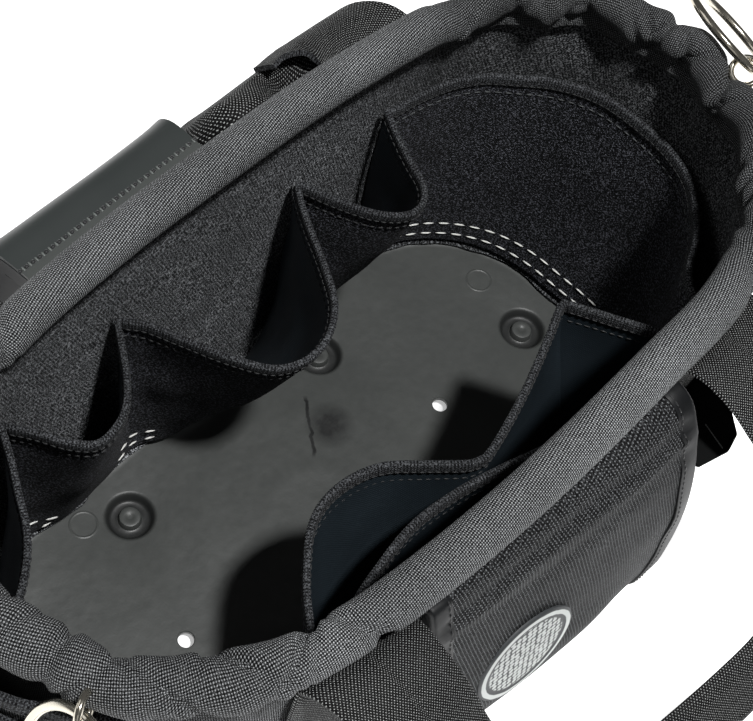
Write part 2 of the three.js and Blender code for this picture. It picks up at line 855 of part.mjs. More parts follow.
function outerPocket(rows, from, to, side, columns, crown) {
  const xs = [];
  for (let j = 0; j < columns; j++) xs.push(from + ((to - from) * j) / (columns - 1));
  return rows.map((row) =>
    xs.map((x, j) => {
      const across = (2 * j) / (columns - 1) - 1;
      const s = lengthAtX(x, side);
      return offWall(s, row.z, -reachAt(row, across) * (1 + crown / 2 - crown * across * across));
    }),
  );
}

function gusset(rows, x, side, crown, across) {
  const inside = rows.filter((row) => row.out > 12);
  const s = lengthAtX(x, side);
  const grid = inside.map((row) => {
    const out = reachAt(row, across) * (1 - crown / 2) - panelThick / 2 - gap - 1.7;
    const drop = row.z > 180 ? 3 : 0;
    return [0, 1].map((u) => offWall(s, row.z - drop * (3 - 2 * u), -(3 + (out - 3) * u)));
  });
  return facingOut(sheet(grid, 1.4));
}

const frontGrid = outerPocket(frontPocket, frontPocketFrom, frontPocketTo, -1, 9, frontCrown);
addPiece("front_pocket_panel", facingOut(sheet(frontGrid, panelThick)), 0x303236, 0.85);
addPiece("front_gusset_left", gusset(frontPocket, frontPocketFrom + 3, -1, frontCrown, -0.96), 0x17181a, 0.5);
addPiece("front_gusset_right", gusset(frontPocket, frontPocketTo - 3, -1, frontCrown, 0.96), 0x17181a, 0.5);
const vinylGrid = outerPocket(vinylPocket, vinylFrom, vinylTo, 1, 7, vinylCrown);
addPiece("vinyl_pocket", facingOut(sheet(vinylGrid, panelThick)), 0x383c3d, 0.4);
addPiece("vinyl_gusset_left", gusset(vinylPocket, vinylFrom + 3, 1, vinylCrown, -1), 0x2c2f30, 0.45);
addPiece("vinyl_gusset_right", gusset(vinylPocket, vinylTo - 3, 1, vinylCrown, 1), 0x2c2f30, 0.45);

// Round patch that follows the outer pocket
function onFrontPocket(x, z, distance) {
  const across = (2 * (x - frontPocketFrom)) / (frontPocketTo - frontPocketFrom) - 1;
  const rows = frontPocket.slice(1);
  const out = reachAt({ out: column(rows, "z", z, "out"), near: column(rows, "z", z, "near") }, across);
  const s = lengthAtX(x, -1);
  return offWall(s, z, -out * (1 + frontCrown / 2 - frontCrown * across * across) - distance);
}
const badgeRings = [0, 0.35, 0.7, 1];
const badgeSides = 18;
const badgeGrid = badgeRings.slice(1).map((share) => {
  const ring = [];
  for (let k = 0; k < badgeSides; k++) {
    const a = (k / badgeSides) * Math.PI * 2;
    const x = badgeX + badgeRadius * share * Math.cos(a);
    const z = badgeZ + badgeRadius * share * Math.sin(a);
    ring.push({ x, z });
  }
  return ring;
});
const badgePoints = [];
for (const level of [panelThick / 2 + 0.6, panelThick / 2 + 0.6 + badgeThick]) {
  badgePoints.push(onFrontPocket(badgeX, badgeZ, level));
  for (const ring of badgeGrid) for (const p of ring) badgePoints.push(onFrontPocket(p.x, p.z, level));
}
const badgeLayer = 1 + badgeSides * 3;
const badgeFaces = [];
for (let k = 0; k < badgeSides; k++) {
  const n = (k + 1) % badgeSides;
  for (const layer of [0, 1]) {
    const base = layer * badgeLayer;
    const tri = (a, b, c) => badgeFaces.push(...(layer ? [a, b, c] : [c, b, a]));
    tri(base, base + 1 + k, base + 1 + n);
    for (let r = 0; r < 2; r++) {
      const low = base + 1 + r * badgeSides;
      const high = low + badgeSides;
      tri(low + k, high + k, high + n);
      tri(low + k, high + n, low + n);
    }
  }
  const edge = 1 + 2 * badgeSides;
  quad(badgeFaces, edge + k, edge + n, badgeLayer + edge + n, badgeLayer + edge + k);
}
addPiece("round_badge", facingOut(indexed(badgePoints, badgeFaces)), 0x3a3c3e, 0.6);

// Outer pocket on the near end
const nearGrid = [42, 80, 130, nearPocketTop].map((z, i) =>
  nearPocket.map((row) => {
    const share = [0.3, 0.8, 1, 1][i];
    return offWall(nearS - row.along, z, -(1.4 + (row.top - 1.4) * share));
  }),
);
addPiece("near_outer_pocket", facingOut(sheet(nearGrid, panelThick)), 0x26282b, 0.88);

// Webbing loops
function legPath(leg, towards) {
  const list = [];
  const turn = leg.reach - leg.corner;
  const straight = [-sewnLength, -20, 0, 4, 8, 8 + (turn - 8) * 0.4, 8 + (turn - 8) * 0.75];
  for (const d of straight) list.push({ x: leg.x, d });
  for (let i = 0; i <= 5; i++) {
    const a = (i / 5) * (Math.PI / 2);
    const x = leg.x + towards * leg.corner * (1 - Math.cos(a));
    list.push({ x, d: turn + leg.corner * Math.sin(a) });
  }
  return list.map((p, k) => ({ ...p, fold: smooth(k, leg.foldFrom, leg.foldTo) }));
}

function loopPath(legs) {
  const left = legPath(legs.left, 1);
  const right = legPath(legs.right, -1).reverse();
  const a = left[left.length - 1];
  const b = right[0];
  const shares = [0.25, 0.5, 0.75];
  const between = shares.map((u) => ({ x: a.x + (b.x - a.x) * u, d: a.d + (b.d - a.d) * u, fold: 1 }));
  return [...left, ...between, ...right];
}

function handle(path, falls, turns, side) {
  const count = path.length;
  const place = (x, d) => {
    const near = lengthAtX(x, side);
    if (d < 0) return offWall(near, 182 + d, -3.8);
    const edge = wallPoint(near, 186).y * side;
    const mix = (name) => {
      let value = column(falls[0], "d", d, name);
      turns.forEach(([from, to], k) => {
        value += (column(falls[k + 1], "d", d, name) - value) * smooth(x, from, to);
      });
      return value;
    };
    const out = edge + (92 - edge) * smooth(d, 0, 45) + mix("out");
    return new THREE.Vector3(x, side * out, mix("z"));
  };
  const grid = [-1, -0.4, 0.4, 1].map((across) =>
    path.map((p, k) => {
      const before = path[Math.max(0, k - 1)];
      const after = path[Math.min(count - 1, k + 1)];
      const tangent = new THREE.Vector2(after.x - before.x, after.d - before.d).normalize();
      const half = webbingWidth / 2 + ((gripWidth - webbingWidth) / 2) * p.fold;
      return place(p.x - tangent.y * half * across, p.d + tangent.x * half * across);
    }),
  );
  const thick = (k) => webbingThick + (gripThick - webbingThick) * path[k].fold;
  return facingOut(sheet(grid, thick));
}
const frontFalls = [frontLeftFall, frontRightFall];
const backFalls = [backLeftFall, backMiddleFall, backRightFall];
// Stretches along the bag over which one fall passes into the next
const frontTurns = [[-100, 50]];
const backTurns = [
  [-100, -70],
  [10, 46],
];
addPiece("handle_front", handle(loopPath(frontLegs), frontFalls, frontTurns, -1), 0x2e2f30, 0.9);
addPiece("handle_back", handle(backPath, backFalls, backTurns, 1), 0x2e2f30, 0.9);

// Stiff tab beside the outer pocket
const tabShape = new THREE.Shape();
const tabOutline = [
  { x: 71.5, y: -101 },
  { x: 104, y: -101 },
  { x: 107, y: -114 },
  { x: 95, y: -127 },
  { x: 87, y: -129 },
  { x: 71.5, y: -125 },
];
tabOutline.forEach((p, i) => (i ? tabShape.lineTo(p.x, p.y) : tabShape.moveTo(p.x, p.y)));
const tab = new THREE.ExtrudeGeometry(tabShape, { depth: 2.2, bevelEnabled: false });
tab.translate(0, 0, 148);
addPiece("side_tab", tab, 0x151618, 0.5);

// Origin at the bottom centre of the whole bag
const box = new THREE.Box3().setFromObject(bag);
const middle = box.getCenter(new THREE.Vector3());
for (const mesh of bag.children) mesh.geometry.translate(-middle.x, -middle.y, -box.min.z);

export default bag;
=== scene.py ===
import bpy, bmesh, math
import numpy as np
from mathutils import Matrix, Vector


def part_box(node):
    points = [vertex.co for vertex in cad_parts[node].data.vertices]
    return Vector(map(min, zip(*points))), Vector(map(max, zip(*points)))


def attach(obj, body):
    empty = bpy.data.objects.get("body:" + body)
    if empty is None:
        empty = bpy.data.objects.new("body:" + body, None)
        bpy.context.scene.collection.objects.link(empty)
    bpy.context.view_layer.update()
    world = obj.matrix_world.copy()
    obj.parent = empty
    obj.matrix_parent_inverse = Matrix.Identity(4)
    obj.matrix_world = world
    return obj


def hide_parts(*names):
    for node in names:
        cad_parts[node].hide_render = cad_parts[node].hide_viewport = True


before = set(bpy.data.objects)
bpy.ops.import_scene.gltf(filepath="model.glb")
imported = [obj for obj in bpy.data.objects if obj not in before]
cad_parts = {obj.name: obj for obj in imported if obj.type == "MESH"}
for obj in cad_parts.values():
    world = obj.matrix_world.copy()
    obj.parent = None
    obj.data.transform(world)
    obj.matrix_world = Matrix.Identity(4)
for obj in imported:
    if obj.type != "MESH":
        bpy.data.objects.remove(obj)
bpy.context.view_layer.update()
trayLow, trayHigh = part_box("base_tray")
# points are worked out in mm round the tray's middle, and moved into the frame by this shift
shift = np.array([(trayLow[0] + trayHigh[0]) * 500, (trayLow[1] + trayHigh[1]) * 500, 0.0])
scene = bpy.context.scene
print("frame loaded, tray middle at", shift.round(2))


def toFrame(points):
    return (np.asarray(points, float) + shift) / 1000


def hexColour(text):
    parts = [int(text[i:i + 2], 16) / 255 for i in (1, 3, 5)]
    return [c / 12.92 if c <= 0.04045 else ((c + 0.055) / 1.055) ** 2.4 for c in parts] + [1]


def addNode(tree, kind, inputs=None, **settings):
    node = tree.nodes.new(kind)
    for key, value in settings.items():
        setattr(node, key, value)
    for key, value in (inputs or {}).items():
        if isinstance(value, bpy.types.NodeSocket):
            tree.links.new(value, node.inputs[key])
        else:
            node.inputs[key].default_value = value
    return node


# short forms of the nodes used most; each gives the output socket
def mathNode(tree, operation, *values):
    return addNode(tree, "ShaderNodeMath", dict(enumerate(values)), operation=operation).outputs[0]


def vectorNode(tree, operation, *values):
    node = addNode(tree, "ShaderNodeVectorMath", dict(enumerate(values)), operation=operation)
    return node.outputs["Value" if operation in ("LENGTH", "DISTANCE") else 0]


def rangeNode(tree, value, low, high, toLow, toHigh, **settings):
    inputs = {"Value": value, 1: low, 2: high, 3: toLow, 4: toHigh}
    return addNode(tree, "ShaderNodeMapRange", inputs, **settings).outputs[0]


def colourMix(tree, factor, *colours):
    first, second = [hexColour(c) if isinstance(c, str) else c for c in colours]
    inputs = {"Factor": factor, 6: first, 7: second}
    return addNode(tree, "ShaderNodeMix", inputs, data_type="RGBA").outputs[2]


def noiseNode(tree, spot, scale, detail=2.0):
    inputs = {"Vector": spot, "Scale": scale, "Detail": detail}
    return addNode(tree, "ShaderNodeTexNoise", inputs).outputs["Fac"]


def awayFrom(tree, value, middle):
    return mathNode(tree, "ABSOLUTE", mathNode(tree, "SUBTRACT", value, middle))


def objectSpot(tree):
    return addNode(tree, "ShaderNodeTexCoord").outputs["Object"]


def startMaterial(name, inputs):
    material = bpy.data.materials.new(name)
    material.use_nodes = True
    tree = material.node_tree
    tree.nodes.clear()
    shader = addNode(tree, "ShaderNodeBsdfPrincipled", inputs)
    addNode(tree, "ShaderNodeOutputMaterial", {"Surface": shader.outputs[0]})
    return material, tree, shader


def wire(tree, shader, sockets):
    for name, socket in sockets.items():
        tree.links.new(socket, shader.inputs[name])


def addBump(tree, shader, height, strength, distance):
    bump = addNode(tree, "ShaderNodeBump", {"Height": height, "Strength": strength, "Distance": distance})
    tree.links.new(bump.outputs[0], shader.inputs["Normal"])


# camera at the photo's angle, from sight lines through the tray's feet and holes
view = dict(place=(-296.41, -157.56, 713.04), right=(0.69068, -0.71595, 0.10186),
            down=(-0.58747, -0.63763, -0.4983), forward=(0.42171, 0.28433, -0.861),
            focal=1574.1, shiftX=0.13, imageWidth=753, sensor=36)
cameraData = bpy.data.cameras.new("photoCamera")
cameraData.sensor_fit = "HORIZONTAL"
cameraData.sensor_width = view["sensor"]
cameraData.lens = view["focal"] / view["imageWidth"] * view["sensor"]
cameraData.shift_x = view["shiftX"]
cameraData.clip_start, cameraData.clip_end = 0.01, 20
camera = bpy.data.objects.new("photoCamera", cameraData)
turn = Matrix([[view["right"][i], -view["down"][i], -view["forward"][i]] for i in range(3)])
camera.matrix_world = Matrix.Translation(Vector(toFrame(view["place"]))) @ turn.to_4x4()
scene.collection.objects.link(camera)
scene.camera = camera

# pale floor, one main lamp nearly overhead and soft light all round
lamps = [
    dict(name="keyLamp", at=(-0.09, -0.40, 1.6), size=0.10, power=26),
    dict(name="backLamp", at=(-0.6, 1.2, 1.2), size=1.0, power=3),
    dict(name="nearLamp", at=(-1.1, -0.8, 0.9), size=0.8, power=0.8),
]
aim = Vector((0, 0, 0.1))
for lamp in lamps:
    data = bpy.data.lights.new(lamp["name"], "AREA")
    data.energy, data.size = lamp["power"], lamp["size"]
    lampObject = bpy.data.objects.new(lamp["name"], data)
    lampObject.location = lamp["at"]
    lampObject.rotation_euler = (aim - Vector(lamp["at"])).to_track_quat("-Z", "Y").to_euler()
    scene.collection.objects.link(lampObject)
world = bpy.data.worlds.new("softRoom")
world.use_nodes = True
world.node_tree.nodes["Background"].inputs["Color"].default_value = hexColour("#ffffff")
world.node_tree.nodes["Background"].inputs["Strength"].default_value = 0.1
scene.world = world
scene.view_settings.view_transform = "Standard"

# painted backdrop board: near white and matt
floorMaterial, tree, shader = startMaterial("mattPaintedBoard", {"Roughness": 0.9})
spot = objectSpot(tree)
tint = colourMix(tree, noiseNode(tree, spot, 3.0), "#f7f7f7", "#fbfbfb")
# lit like a backdrop table, less so under the bag
under = vectorNode(tree, "LENGTH", vectorNode(tree, "MULTIPLY", spot, (5.2, 10.4, 0)))
wire(tree, shader, {"Base Color": tint, "Emission Color": tint,
                    "Emission Strength": rangeNode(tree, under, 0.75, 1.0, 0.42, 1.0)})
floorMesh = bpy.data.meshes.new("floor")
floorMesh.from_pydata([(-4, -4, 0), (4, -4, 0), (4, 4, 0), (-4, 4, 0)], [], [(0, 1, 2, 3)])
floorMesh.materials.append(floorMaterial)
floor = bpy.data.objects.new("floor", floorMesh)
scene.collection.objects.link(floor)
print("camera, lamps and floor set")


# woven, napped and ribbed cloth: threads follow the piece's own lay in mm; the light thread colour, near white
# on the black nylons and webbing, is a painted glint on each thread crown
def clothMaterial(name, dark, light, speckColour, roughness, warp=1.4, weft=1.4, rib=0.0, relief=0.5,
                  speck=0.3, speckSize=0.8, sheen=0.02, slack=0.0, skew=0.0, gap=0.42, glint=1.0,
                  farShade=1.0, nearShade=1.0):
    material, tree, shader = startMaterial(name, {"Roughness": roughness, "Specular IOR Level": 0.15,
                                                  "Sheen Weight": sheen, "Sheen Roughness": 0.45})
    lay = addNode(tree, "ShaderNodeUVMap", uv_map="lay").outputs[0]
    turned = addNode(tree, "ShaderNodeMapping", {"Vector": lay, "Rotation": (0, 0, skew)}).outputs[0]
    waves = []
    for step, direction in ((warp, "X"), (weft, "Y")):  # a wave repeats every 0.314 units at scale 1
        inputs = {"Vector": turned, "Scale": 0.31416 / step, "Distortion": slack, "Detail Scale": 1.5}
        waves.append(addNode(tree, "ShaderNodeTexWave", inputs, bands_direction=direction).outputs["Fac"])
    over, under = [mathNode(tree, "SUBTRACT", wave, 0.5) for wave in waves]
    check = mathNode(tree, "MULTIPLY_ADD", mathNode(tree, "MULTIPLY", over, under), 2.0, 0.5)
    mixed = addNode(tree, "ShaderNodeMix", {"Factor": rib, 2: check, 3: waves[0]}).outputs[0]
    # painted glints: the power sharpens the pale thread crowns into bright peaks on black
    thread = mathNode(tree, "POWER", rangeNode(tree, mixed, gap, 0.92, 0.0, 1.0), glint)
    spot = objectSpot(tree)
    # bright specks, given in mm and turned to repeats per metre: on the nylons and webbing they are painted
    # glints, on the velour its speckled nap
    fleck = noiseNode(tree, spot, 1000 / speckSize)
    base = colourMix(tree, thread, dark, light)
    base = colourMix(tree, rangeNode(tree, fleck, 0.5, 0.66, 0.0, speck), base, speckColour)
    # worn in patches, and darker at the two ends than on the long sides: painted shade where less light reaches
    # the ends
    x = addNode(tree, "ShaderNodeSeparateXYZ", {0: spot}).outputs[0]
    wearAndEndShade = rangeNode(tree, noiseNode(tree, spot, 22.0, 3.0), 0.3, 0.7, 0.8, 1.2)
    # painted shade: the far and near ends are darkened by these shares
    wearAndEndShade = mathNode(tree, "MULTIPLY", wearAndEndShade, rangeNode(tree, x, 0.06, 0.14, 1.0, farShade))
    wearAndEndShade = mathNode(tree, "MULTIPLY", wearAndEndShade, rangeNode(tree, x, -0.17, -0.11, nearShade, 1.0))
    toned = addNode(tree, "ShaderNodeVectorMath", {0: base, "Scale": wearAndEndShade}, operation="SCALE")
    wire(tree, shader, {"Base Color": toned.outputs[0]})
    addBump(tree, shader, mathNode(tree, "MULTIPLY_ADD", fleck, 0.5, thread), 0.9, relief / 1000)
    return material


# ballistic nylon: thick threads in a basket weave, drawn at 1.3 mm so that the rows still show; its near-white
# crowns and specks are painted glints on black thread
shellNylon = clothMaterial("ballisticNylon", "#040405", "#d6d9db", "#b9bcbf", 0.75, warp=1.3, weft=1.3,
                           rib=0.12, speck=0.18, slack=0.1, skew=0.6, gap=0.47, glint=1.2,
                           farShade=0.4, nearShade=0.6)
# ribbed pouch nylon: cords run up the panel every 1.6 mm, dark between them, their pale tops painted glints
ribNylon = clothMaterial("cordedNylon", "#040405", "#888b8d", "#a2a5a8", 0.75, warp=1.6, weft=1.3, rib=0.45,
                         speck=0.16, slack=0.1, skew=0.25, gap=0.57, glint=1.7)
# same nylon seen from its uncoated side: fine rows with bright specks, painted glints on its fibres
innerNylon = clothMaterial("nylonInside", "#060607", "#74777a", "#c6c9cd", 0.85, rib=0.4, relief=0.4,
                           speck=0.7, speckSize=0.9, slack=0.2, skew=0.4, gap=0.46, farShade=0.5)
# napped loop velour: no thread lines, a speckled matt nap
napVelour = clothMaterial("nappedVelour", "#08090a", "#181a1d", "#82848e", 0.95, speck=0.65, speckSize=0.9,
                          sheen=0.03, slack=3.0)
# PU-coated back of the velour: smooth blue-black film over a fine weave
coatedBack = clothMaterial("coatedFabric", "#1f262b", "#2b3339", "#3c464d", 0.45, relief=0.08, speck=0.08,
                           speckSize=2.0, sheen=0.0, slack=1.0)
# grosgrain tape: ribs straight across its length, drawn at 1.4 mm
ribTape = clothMaterial("grosgrainTape", "#060607", "#4a4c4f", "#8c8f93", 0.8, rib=0.45, relief=0.3,
                        slack=0.1)
# polypropylene webbing: crossed ribs without slack, drawn at 1.45 mm with black between them and painted glints
# on their pale crowns
heavyWebbing = clothMaterial("polypropyleneWebbing", "#020202", "#b9bbba", "#a6a8a8", 0.7, warp=1.45,
                             weft=1.45, rib=0.05, speck=0.05, gap=0.6, glint=2.0)


# calendered PVC: satin skin with a faint leather grain
def coatedMaterial(name, dark, light, roughness, grainSize, gloss=0.5):
    material, tree, shader = startMaterial(name, {"Specular IOR Level": gloss, "IOR": 1.53})
    spot = objectSpot(tree)
    cells = addNode(tree, "ShaderNodeTexVoronoi", {"Vector": spot, "Scale": 1000 / grainSize},
                    feature="SMOOTH_F1")
    cloud = noiseNode(tree, spot, 14.0, 4.0)
    wire(tree, shader, {"Base Color": colourMix(tree, cloud, dark, light),
                        "Roughness": rangeNode(tree, cloud, 0.3, 0.7, roughness - 0.05, roughness + 0.07)})
    addBump(tree, shader, cells.outputs["Distance"], 0.25, 0.0001)
    return material


# pouch skin: smooth grey film that takes a soft sheen
satinVinyl = coatedMaterial("calenderedVinyl", "#2b2f2f", "#383c3b", 0.38, 1.4)
# its turned-over top above the seam: painted paler, a highlight where it curves over
highlightedVinylFold = coatedMaterial("calenderedVinylFold", "#383b3a", "#474a48", 0.4, 1.4)
# edge band: near-black film with little shine
darkVinyl = coatedMaterial("blackVinyl", "#07080a", "#0e1012", 0.5, 1.2, 0.25)
# tab board: flat black laminate
stiffBoard = coatedMaterial("laminatedBoard", "#030404", "#070808", 0.75, 1.6, 0.1)

# twisted polyester thread: soft sheen and a fine twist across each stitch
threads = {}
for name, dark, light in (("whiteThread", "#c9c9c5", "#f4f4f0"), ("greyThread", "#5d6060", "#8e9190"),
                          ("dimThread", "#2c2e2f", "#4b4e4f"), ("blackThread", "#0b0b0c", "#1f2123")):
    threads[name], tree, shader = startMaterial(name, {"Roughness": 0.6, "Sheen Weight": 0.2})
    twist = noiseNode(tree, objectSpot(tree), 1200.0)
    wire(tree, shader, {"Base Color": colourMix(tree, twist, dark, light)})
# skin drawn up between two stitches, painted pale as a highlight on each pucker
threads["puckerHighlight"] = coatedMaterial("vinylPucker", "#5a5e5c", "#6f7371", 0.4, 1.4)

# bright nickel plate on steel wire: mirror-like with a faint warm tarnish
nickel, tree, shader = startMaterial("nickelPlate", {"Metallic": 1.0})
bloom = noiseNode(tree, objectSpot(tree), 120.0, 4.0)
wire(tree, shader, {"Base Color": colourMix(tree, bloom, "#b9b1a0", "#dcd8cc"),
                    "Roughness": rangeNode(tree, bloom, 0.3, 0.7, 0.12, 0.26)})

# moulded rubber patch: matt, with a pale ring inside its edge and pale pips inside the ring
patchRubber, tree, shader = startMaterial("mouldedRubber", {"Roughness": 0.6})
lay = addNode(tree, "ShaderNodeUVMap", uv_map="lay").outputs[0]
reach = vectorNode(tree, "LENGTH", lay)
ring = rangeNode(tree, awayFrom(tree, reach, 22.6), 1.0, 1.3, 1.0, 0.0)
chalk = noiseNode(tree, objectSpot(tree), 500.0, 3.0)
pips = addNode(tree, "ShaderNodeTexVoronoi", {"Vector": lay, "Scale": 0.36, "Randomness": 0.25})
worn = rangeNode(tree, pips.outputs["Distance"], 0.4, 0.5, 0.95, 0.0)
inside = mathNode(tree, "MULTIPLY", worn, rangeNode(tree, reach, 19.0, 19.8, 1.0, 0.0))
field = colourMix(tree, chalk, "#26282a", "#3a3d3f")
drawn = colourMix(tree, mathNode(tree, "MAXIMUM", ring, inside), field, "#c6cac8")
wire(tree, shader, {"Base Color": drawn})
addBump(tree, shader, chalk, 0.3, 0.0002)

tray = dict(halfLength=193, halfWidth=95, corner=76, wall=2.5, top=38, floorTop=8, floorUnder=5, fillet=7,
            underFillet=9, feet=[(-160, 0), (160, 0), (-67.5, 64), (67.5, 64), (-67.5, -64), (67.5, -64)],
            drains=[(-92, 0), (92, 0)], drainRadius=3.9)

# moulded polypropylene: satin dark grey, flow ripples round the gate, ejector rings and scuffs
# dish: inner and outer radii of the painted shade round each foot
trayMarks = dict(gateRings=((26, 9), (58, 11)), ejectors=((-87, 76), (166, 36)), ejectorRadius=6.7,
                 scratch=((44, 51), (22, 24)), smudge=(41, 31), dish=(5.4, 6.6, 10.5, 14.0))
trayPlastic, tree, shader = startMaterial("mouldedPolypropylene", {"IOR": 1.49})
inMm = addNode(tree, "ShaderNodeMapping", {"Vector": objectSpot(tree), "Scale": (1000, 1000, 1000),
                                           "Location": (-shift[0], -shift[1], 0)}).outputs[0]
flat = vectorNode(tree, "MULTIPLY", inMm, (1, 1, 0))
cloud = noiseNode(tree, inMm, 0.02, 4.0)
pores = noiseNode(tree, inMm, 0.9)
dust = noiseNode(tree, inMm, 0.22, 8.0)
base = colourMix(tree, cloud, "#3f4140", "#4a4c4a")
relief = mathNode(tree, "MULTIPLY", cloud, 3.0)
away = vectorNode(tree, "LENGTH", flat)
for radius, width in trayMarks["gateRings"]:
    off = awayFrom(tree, away, radius)
    rise = rangeNode(tree, off, width, 0.0, 0.0, 0.45, interpolation_type="SMOOTHSTEP")
    relief = mathNode(tree, "ADD", relief, rise)
for x, y in trayMarks["ejectors"]:
    reach = vectorNode(tree, "DISTANCE", flat, (x, y, 0))
    rise = rangeNode(tree, awayFrom(tree, reach, trayMarks["ejectorRadius"]), 0.7, 0.0, 0.0, 0.5)
    relief = mathNode(tree, "ADD", relief, rise)
# a thin wandering scratch with a rubbed patch beside it
(ax, ay), (bx, by) = trayMarks["scratch"]
middle = vectorNode(tree, "SUBTRACT", flat, ((ax + bx) / 2, (ay + by) / 2, 0))
lean = math.atan2(by - ay, bx - ax)
laid = addNode(tree, "ShaderNodeMapping", {"Vector": middle, "Rotation": (0, 0, -lean)})
sides = addNode(tree, "ShaderNodeSeparateXYZ", {0: laid.outputs[0]})
wander = mathNode(tree, "MULTIPLY_ADD", dust, 3.0, sides.outputs[1])
thin = rangeNode(tree, awayFrom(tree, wander, 1.5), 0.55, 1.2, 1.0, 0.0)
length = rangeNode(tree, mathNode(tree, "ABSOLUTE", sides.outputs[0]), 15.0, 18.0, 1.0, 0.0)
rub = rangeNode(tree, vectorNode(tree, "DISTANCE", flat, trayMarks["smudge"] + (0,)), 4.0, 14.0, 2.0, 0.0)
scratch = mathNode(tree, "MULTIPLY", thin, length)
marks = mathNode(tree, "MAXIMUM", scratch, mathNode(tree, "MULTIPLY", rub, dust))
# painted shade and painted reflection: the dark ring in the dish round each foot's button stands for the shade
# and dark reflections of the dish walls
low, full, fade, end = trayMarks["dish"]  # grime lies in the dish round each foot's button
for x, y in tray["feet"]:
    reach = vectorNode(tree, "DISTANCE", flat, (x, y, 0))
    fall = rangeNode(tree, reach, fade, end, 1.0, 0.0, interpolation_type="SMOOTHSTEP")
    dishShade = mathNode(tree, "MULTIPLY", rangeNode(tree, reach, low, full, 0.0, 0.85), fall)
    marks = mathNode(tree, "MAXIMUM", marks, dishShade)
# one dark colour for the scratch, the rub and the painted shade in the foot dishes
wire(tree, shader, {"Base Color": colourMix(tree, marks, base, "#1d1e1e"),
                    "Roughness": rangeNode(tree, dust, 0.3, 0.7, 0.4, 0.52)})
addBump(tree, shader, mathNode(tree, "MULTIPLY_ADD", pores, 0.08, relief), 0.6, 0.001)
print("materials made:", len(bpy.data.materials))


# a piece is gathered part by part: points and faces in mm, with the cloth's lay and a finish for each face
def newStock():
    return dict(points=[], faces=[], lays=[], finish=[], count=0)


def addFaces(stock, points, faces, lays, finish):
    stock["points"].append(np.asarray(points, float).reshape(-1, 3))
    stock["faces"] += [[int(v) + stock["count"] for v in face] for face in faces]
    stock["lays"] += [list(map(tuple, lay)) for lay in lays]
    stock["finish"] += list(finish)
    stock["count"] += len(stock["points"][-1])


def lengthsOf(line):
    return np.concatenate([[0], np.cumsum(np.linalg.norm(np.diff(line, axis=0), axis=1))])


# normals of a grid of points, as large as the cells round each point, and of length one
def crossings(grid):
    return np.cross(np.gradient(grid, axis=1), np.gradient(grid, axis=0))


def facing(grid):
    out = crossings(grid)
    return out / np.linalg.norm(out, axis=2, keepdims=True)


# cloth of the given thickness round a grid of middle points; finish is (face, back, edge)
def addSheet(stock, grid, thick, finish=(0, 0, 0), closed=False):
    grid = np.asarray(grid, float)
    rows, cols = grid.shape[:2]
    if closed:
        along = np.roll(grid, -1, 1) - np.roll(grid, 1, 1)
    else:
        along = np.gradient(grid, axis=1)
    normal = np.cross(along, np.gradient(grid, axis=0))
    normal /= np.maximum(np.linalg.norm(normal, axis=2, keepdims=True), 1e-9)
    half = np.broadcast_to(np.asarray(thick, float), (rows, cols))[:, :, None] / 2
    points = np.concatenate([(grid + normal * half).reshape(-1, 3), (grid - normal * half).reshape(-1, 3)])
    midRow = grid[rows // 2]
    u = lengthsOf(np.vstack([midRow, midRow[:1]]) if closed else midRow)
    v = lengthsOf(grid[:, cols // 2])
    spans = cols if closed else cols - 1
    at = lambda side, i, j: side * rows * cols + i * cols + j % cols
    faces, lays, kinds = [], [], []

    def face(kind, *corners):
        faces.append([at(*c) for c in corners])
        lays.append([(u[c[2]], v[c[1]]) for c in corners])
        kinds.append(finish[kind])

    for j in range(spans):
        for i in range(rows - 1):
            face(0, (0, i, j), (0, i, j + 1), (0, i + 1, j + 1), (0, i + 1, j))
            face(1, (1, i, j), (1, i + 1, j), (1, i + 1, j + 1), (1, i, j + 1))
        face(2, (0, 0, j + 1), (0, 0, j), (1, 0, j), (1, 0, j + 1))
        top = rows - 1
        face(2, (0, top, j), (0, top, j + 1), (1, top, j + 1), (1, top, j))
    if not closed:
        end = cols - 1
        for i in range(rows - 1):
            face(2, (0, i, 0), (0, i + 1, 0), (1, i + 1, 0), (1, i, 0))
            face(2, (0, i + 1, end), (0, i, end), (1, i, end), (1, i + 1, end))
    addFaces(stock, points, faces, lays, kinds)


# closed sections joined one after the other; an open run gets an end face at both ends
def addSweep(stock, sections, closed=False, finish=0):
    sections = np.asarray(sections, float)
    count, around = sections.shape[:2]
    middle = sections.mean(axis=1)
    u = lengthsOf(np.vstack([middle, middle[:1]]))
    v = lengthsOf(np.vstack([sections[0], sections[0][:1]]))
    faces, lays = [], []
    for k in range(count if closed else count - 1):
        n = (k + 1) % count
        for i in range(around):
            j = (i + 1) % around
            faces.append([k * around + i, k * around + j, n * around + j, n * around + i])
            lays.append([(u[k], v[i]), (u[k], v[i + 1]), (u[k + 1], v[i + 1]), (u[k + 1], v[i])])
    if not closed:
        for k, order in ((0, range(around - 1, -1, -1)), (count - 1, range(around))):
            faces.append([k * around + i for i in order])
            lays.append([(u[k], v[i]) for i in order])
    addFaces(stock, sections, faces, lays, [finish] * len(faces))


def placeMesh(name, mesh, sharp=None):
    mesh.polygons.foreach_set("use_smooth", [True] * len(mesh.polygons))
    if sharp:
        mesh.set_sharp_from_angle(angle=math.radians(sharp))
    piece = bpy.data.objects.new(name, mesh)
    scene.collection.objects.link(piece)
    return piece


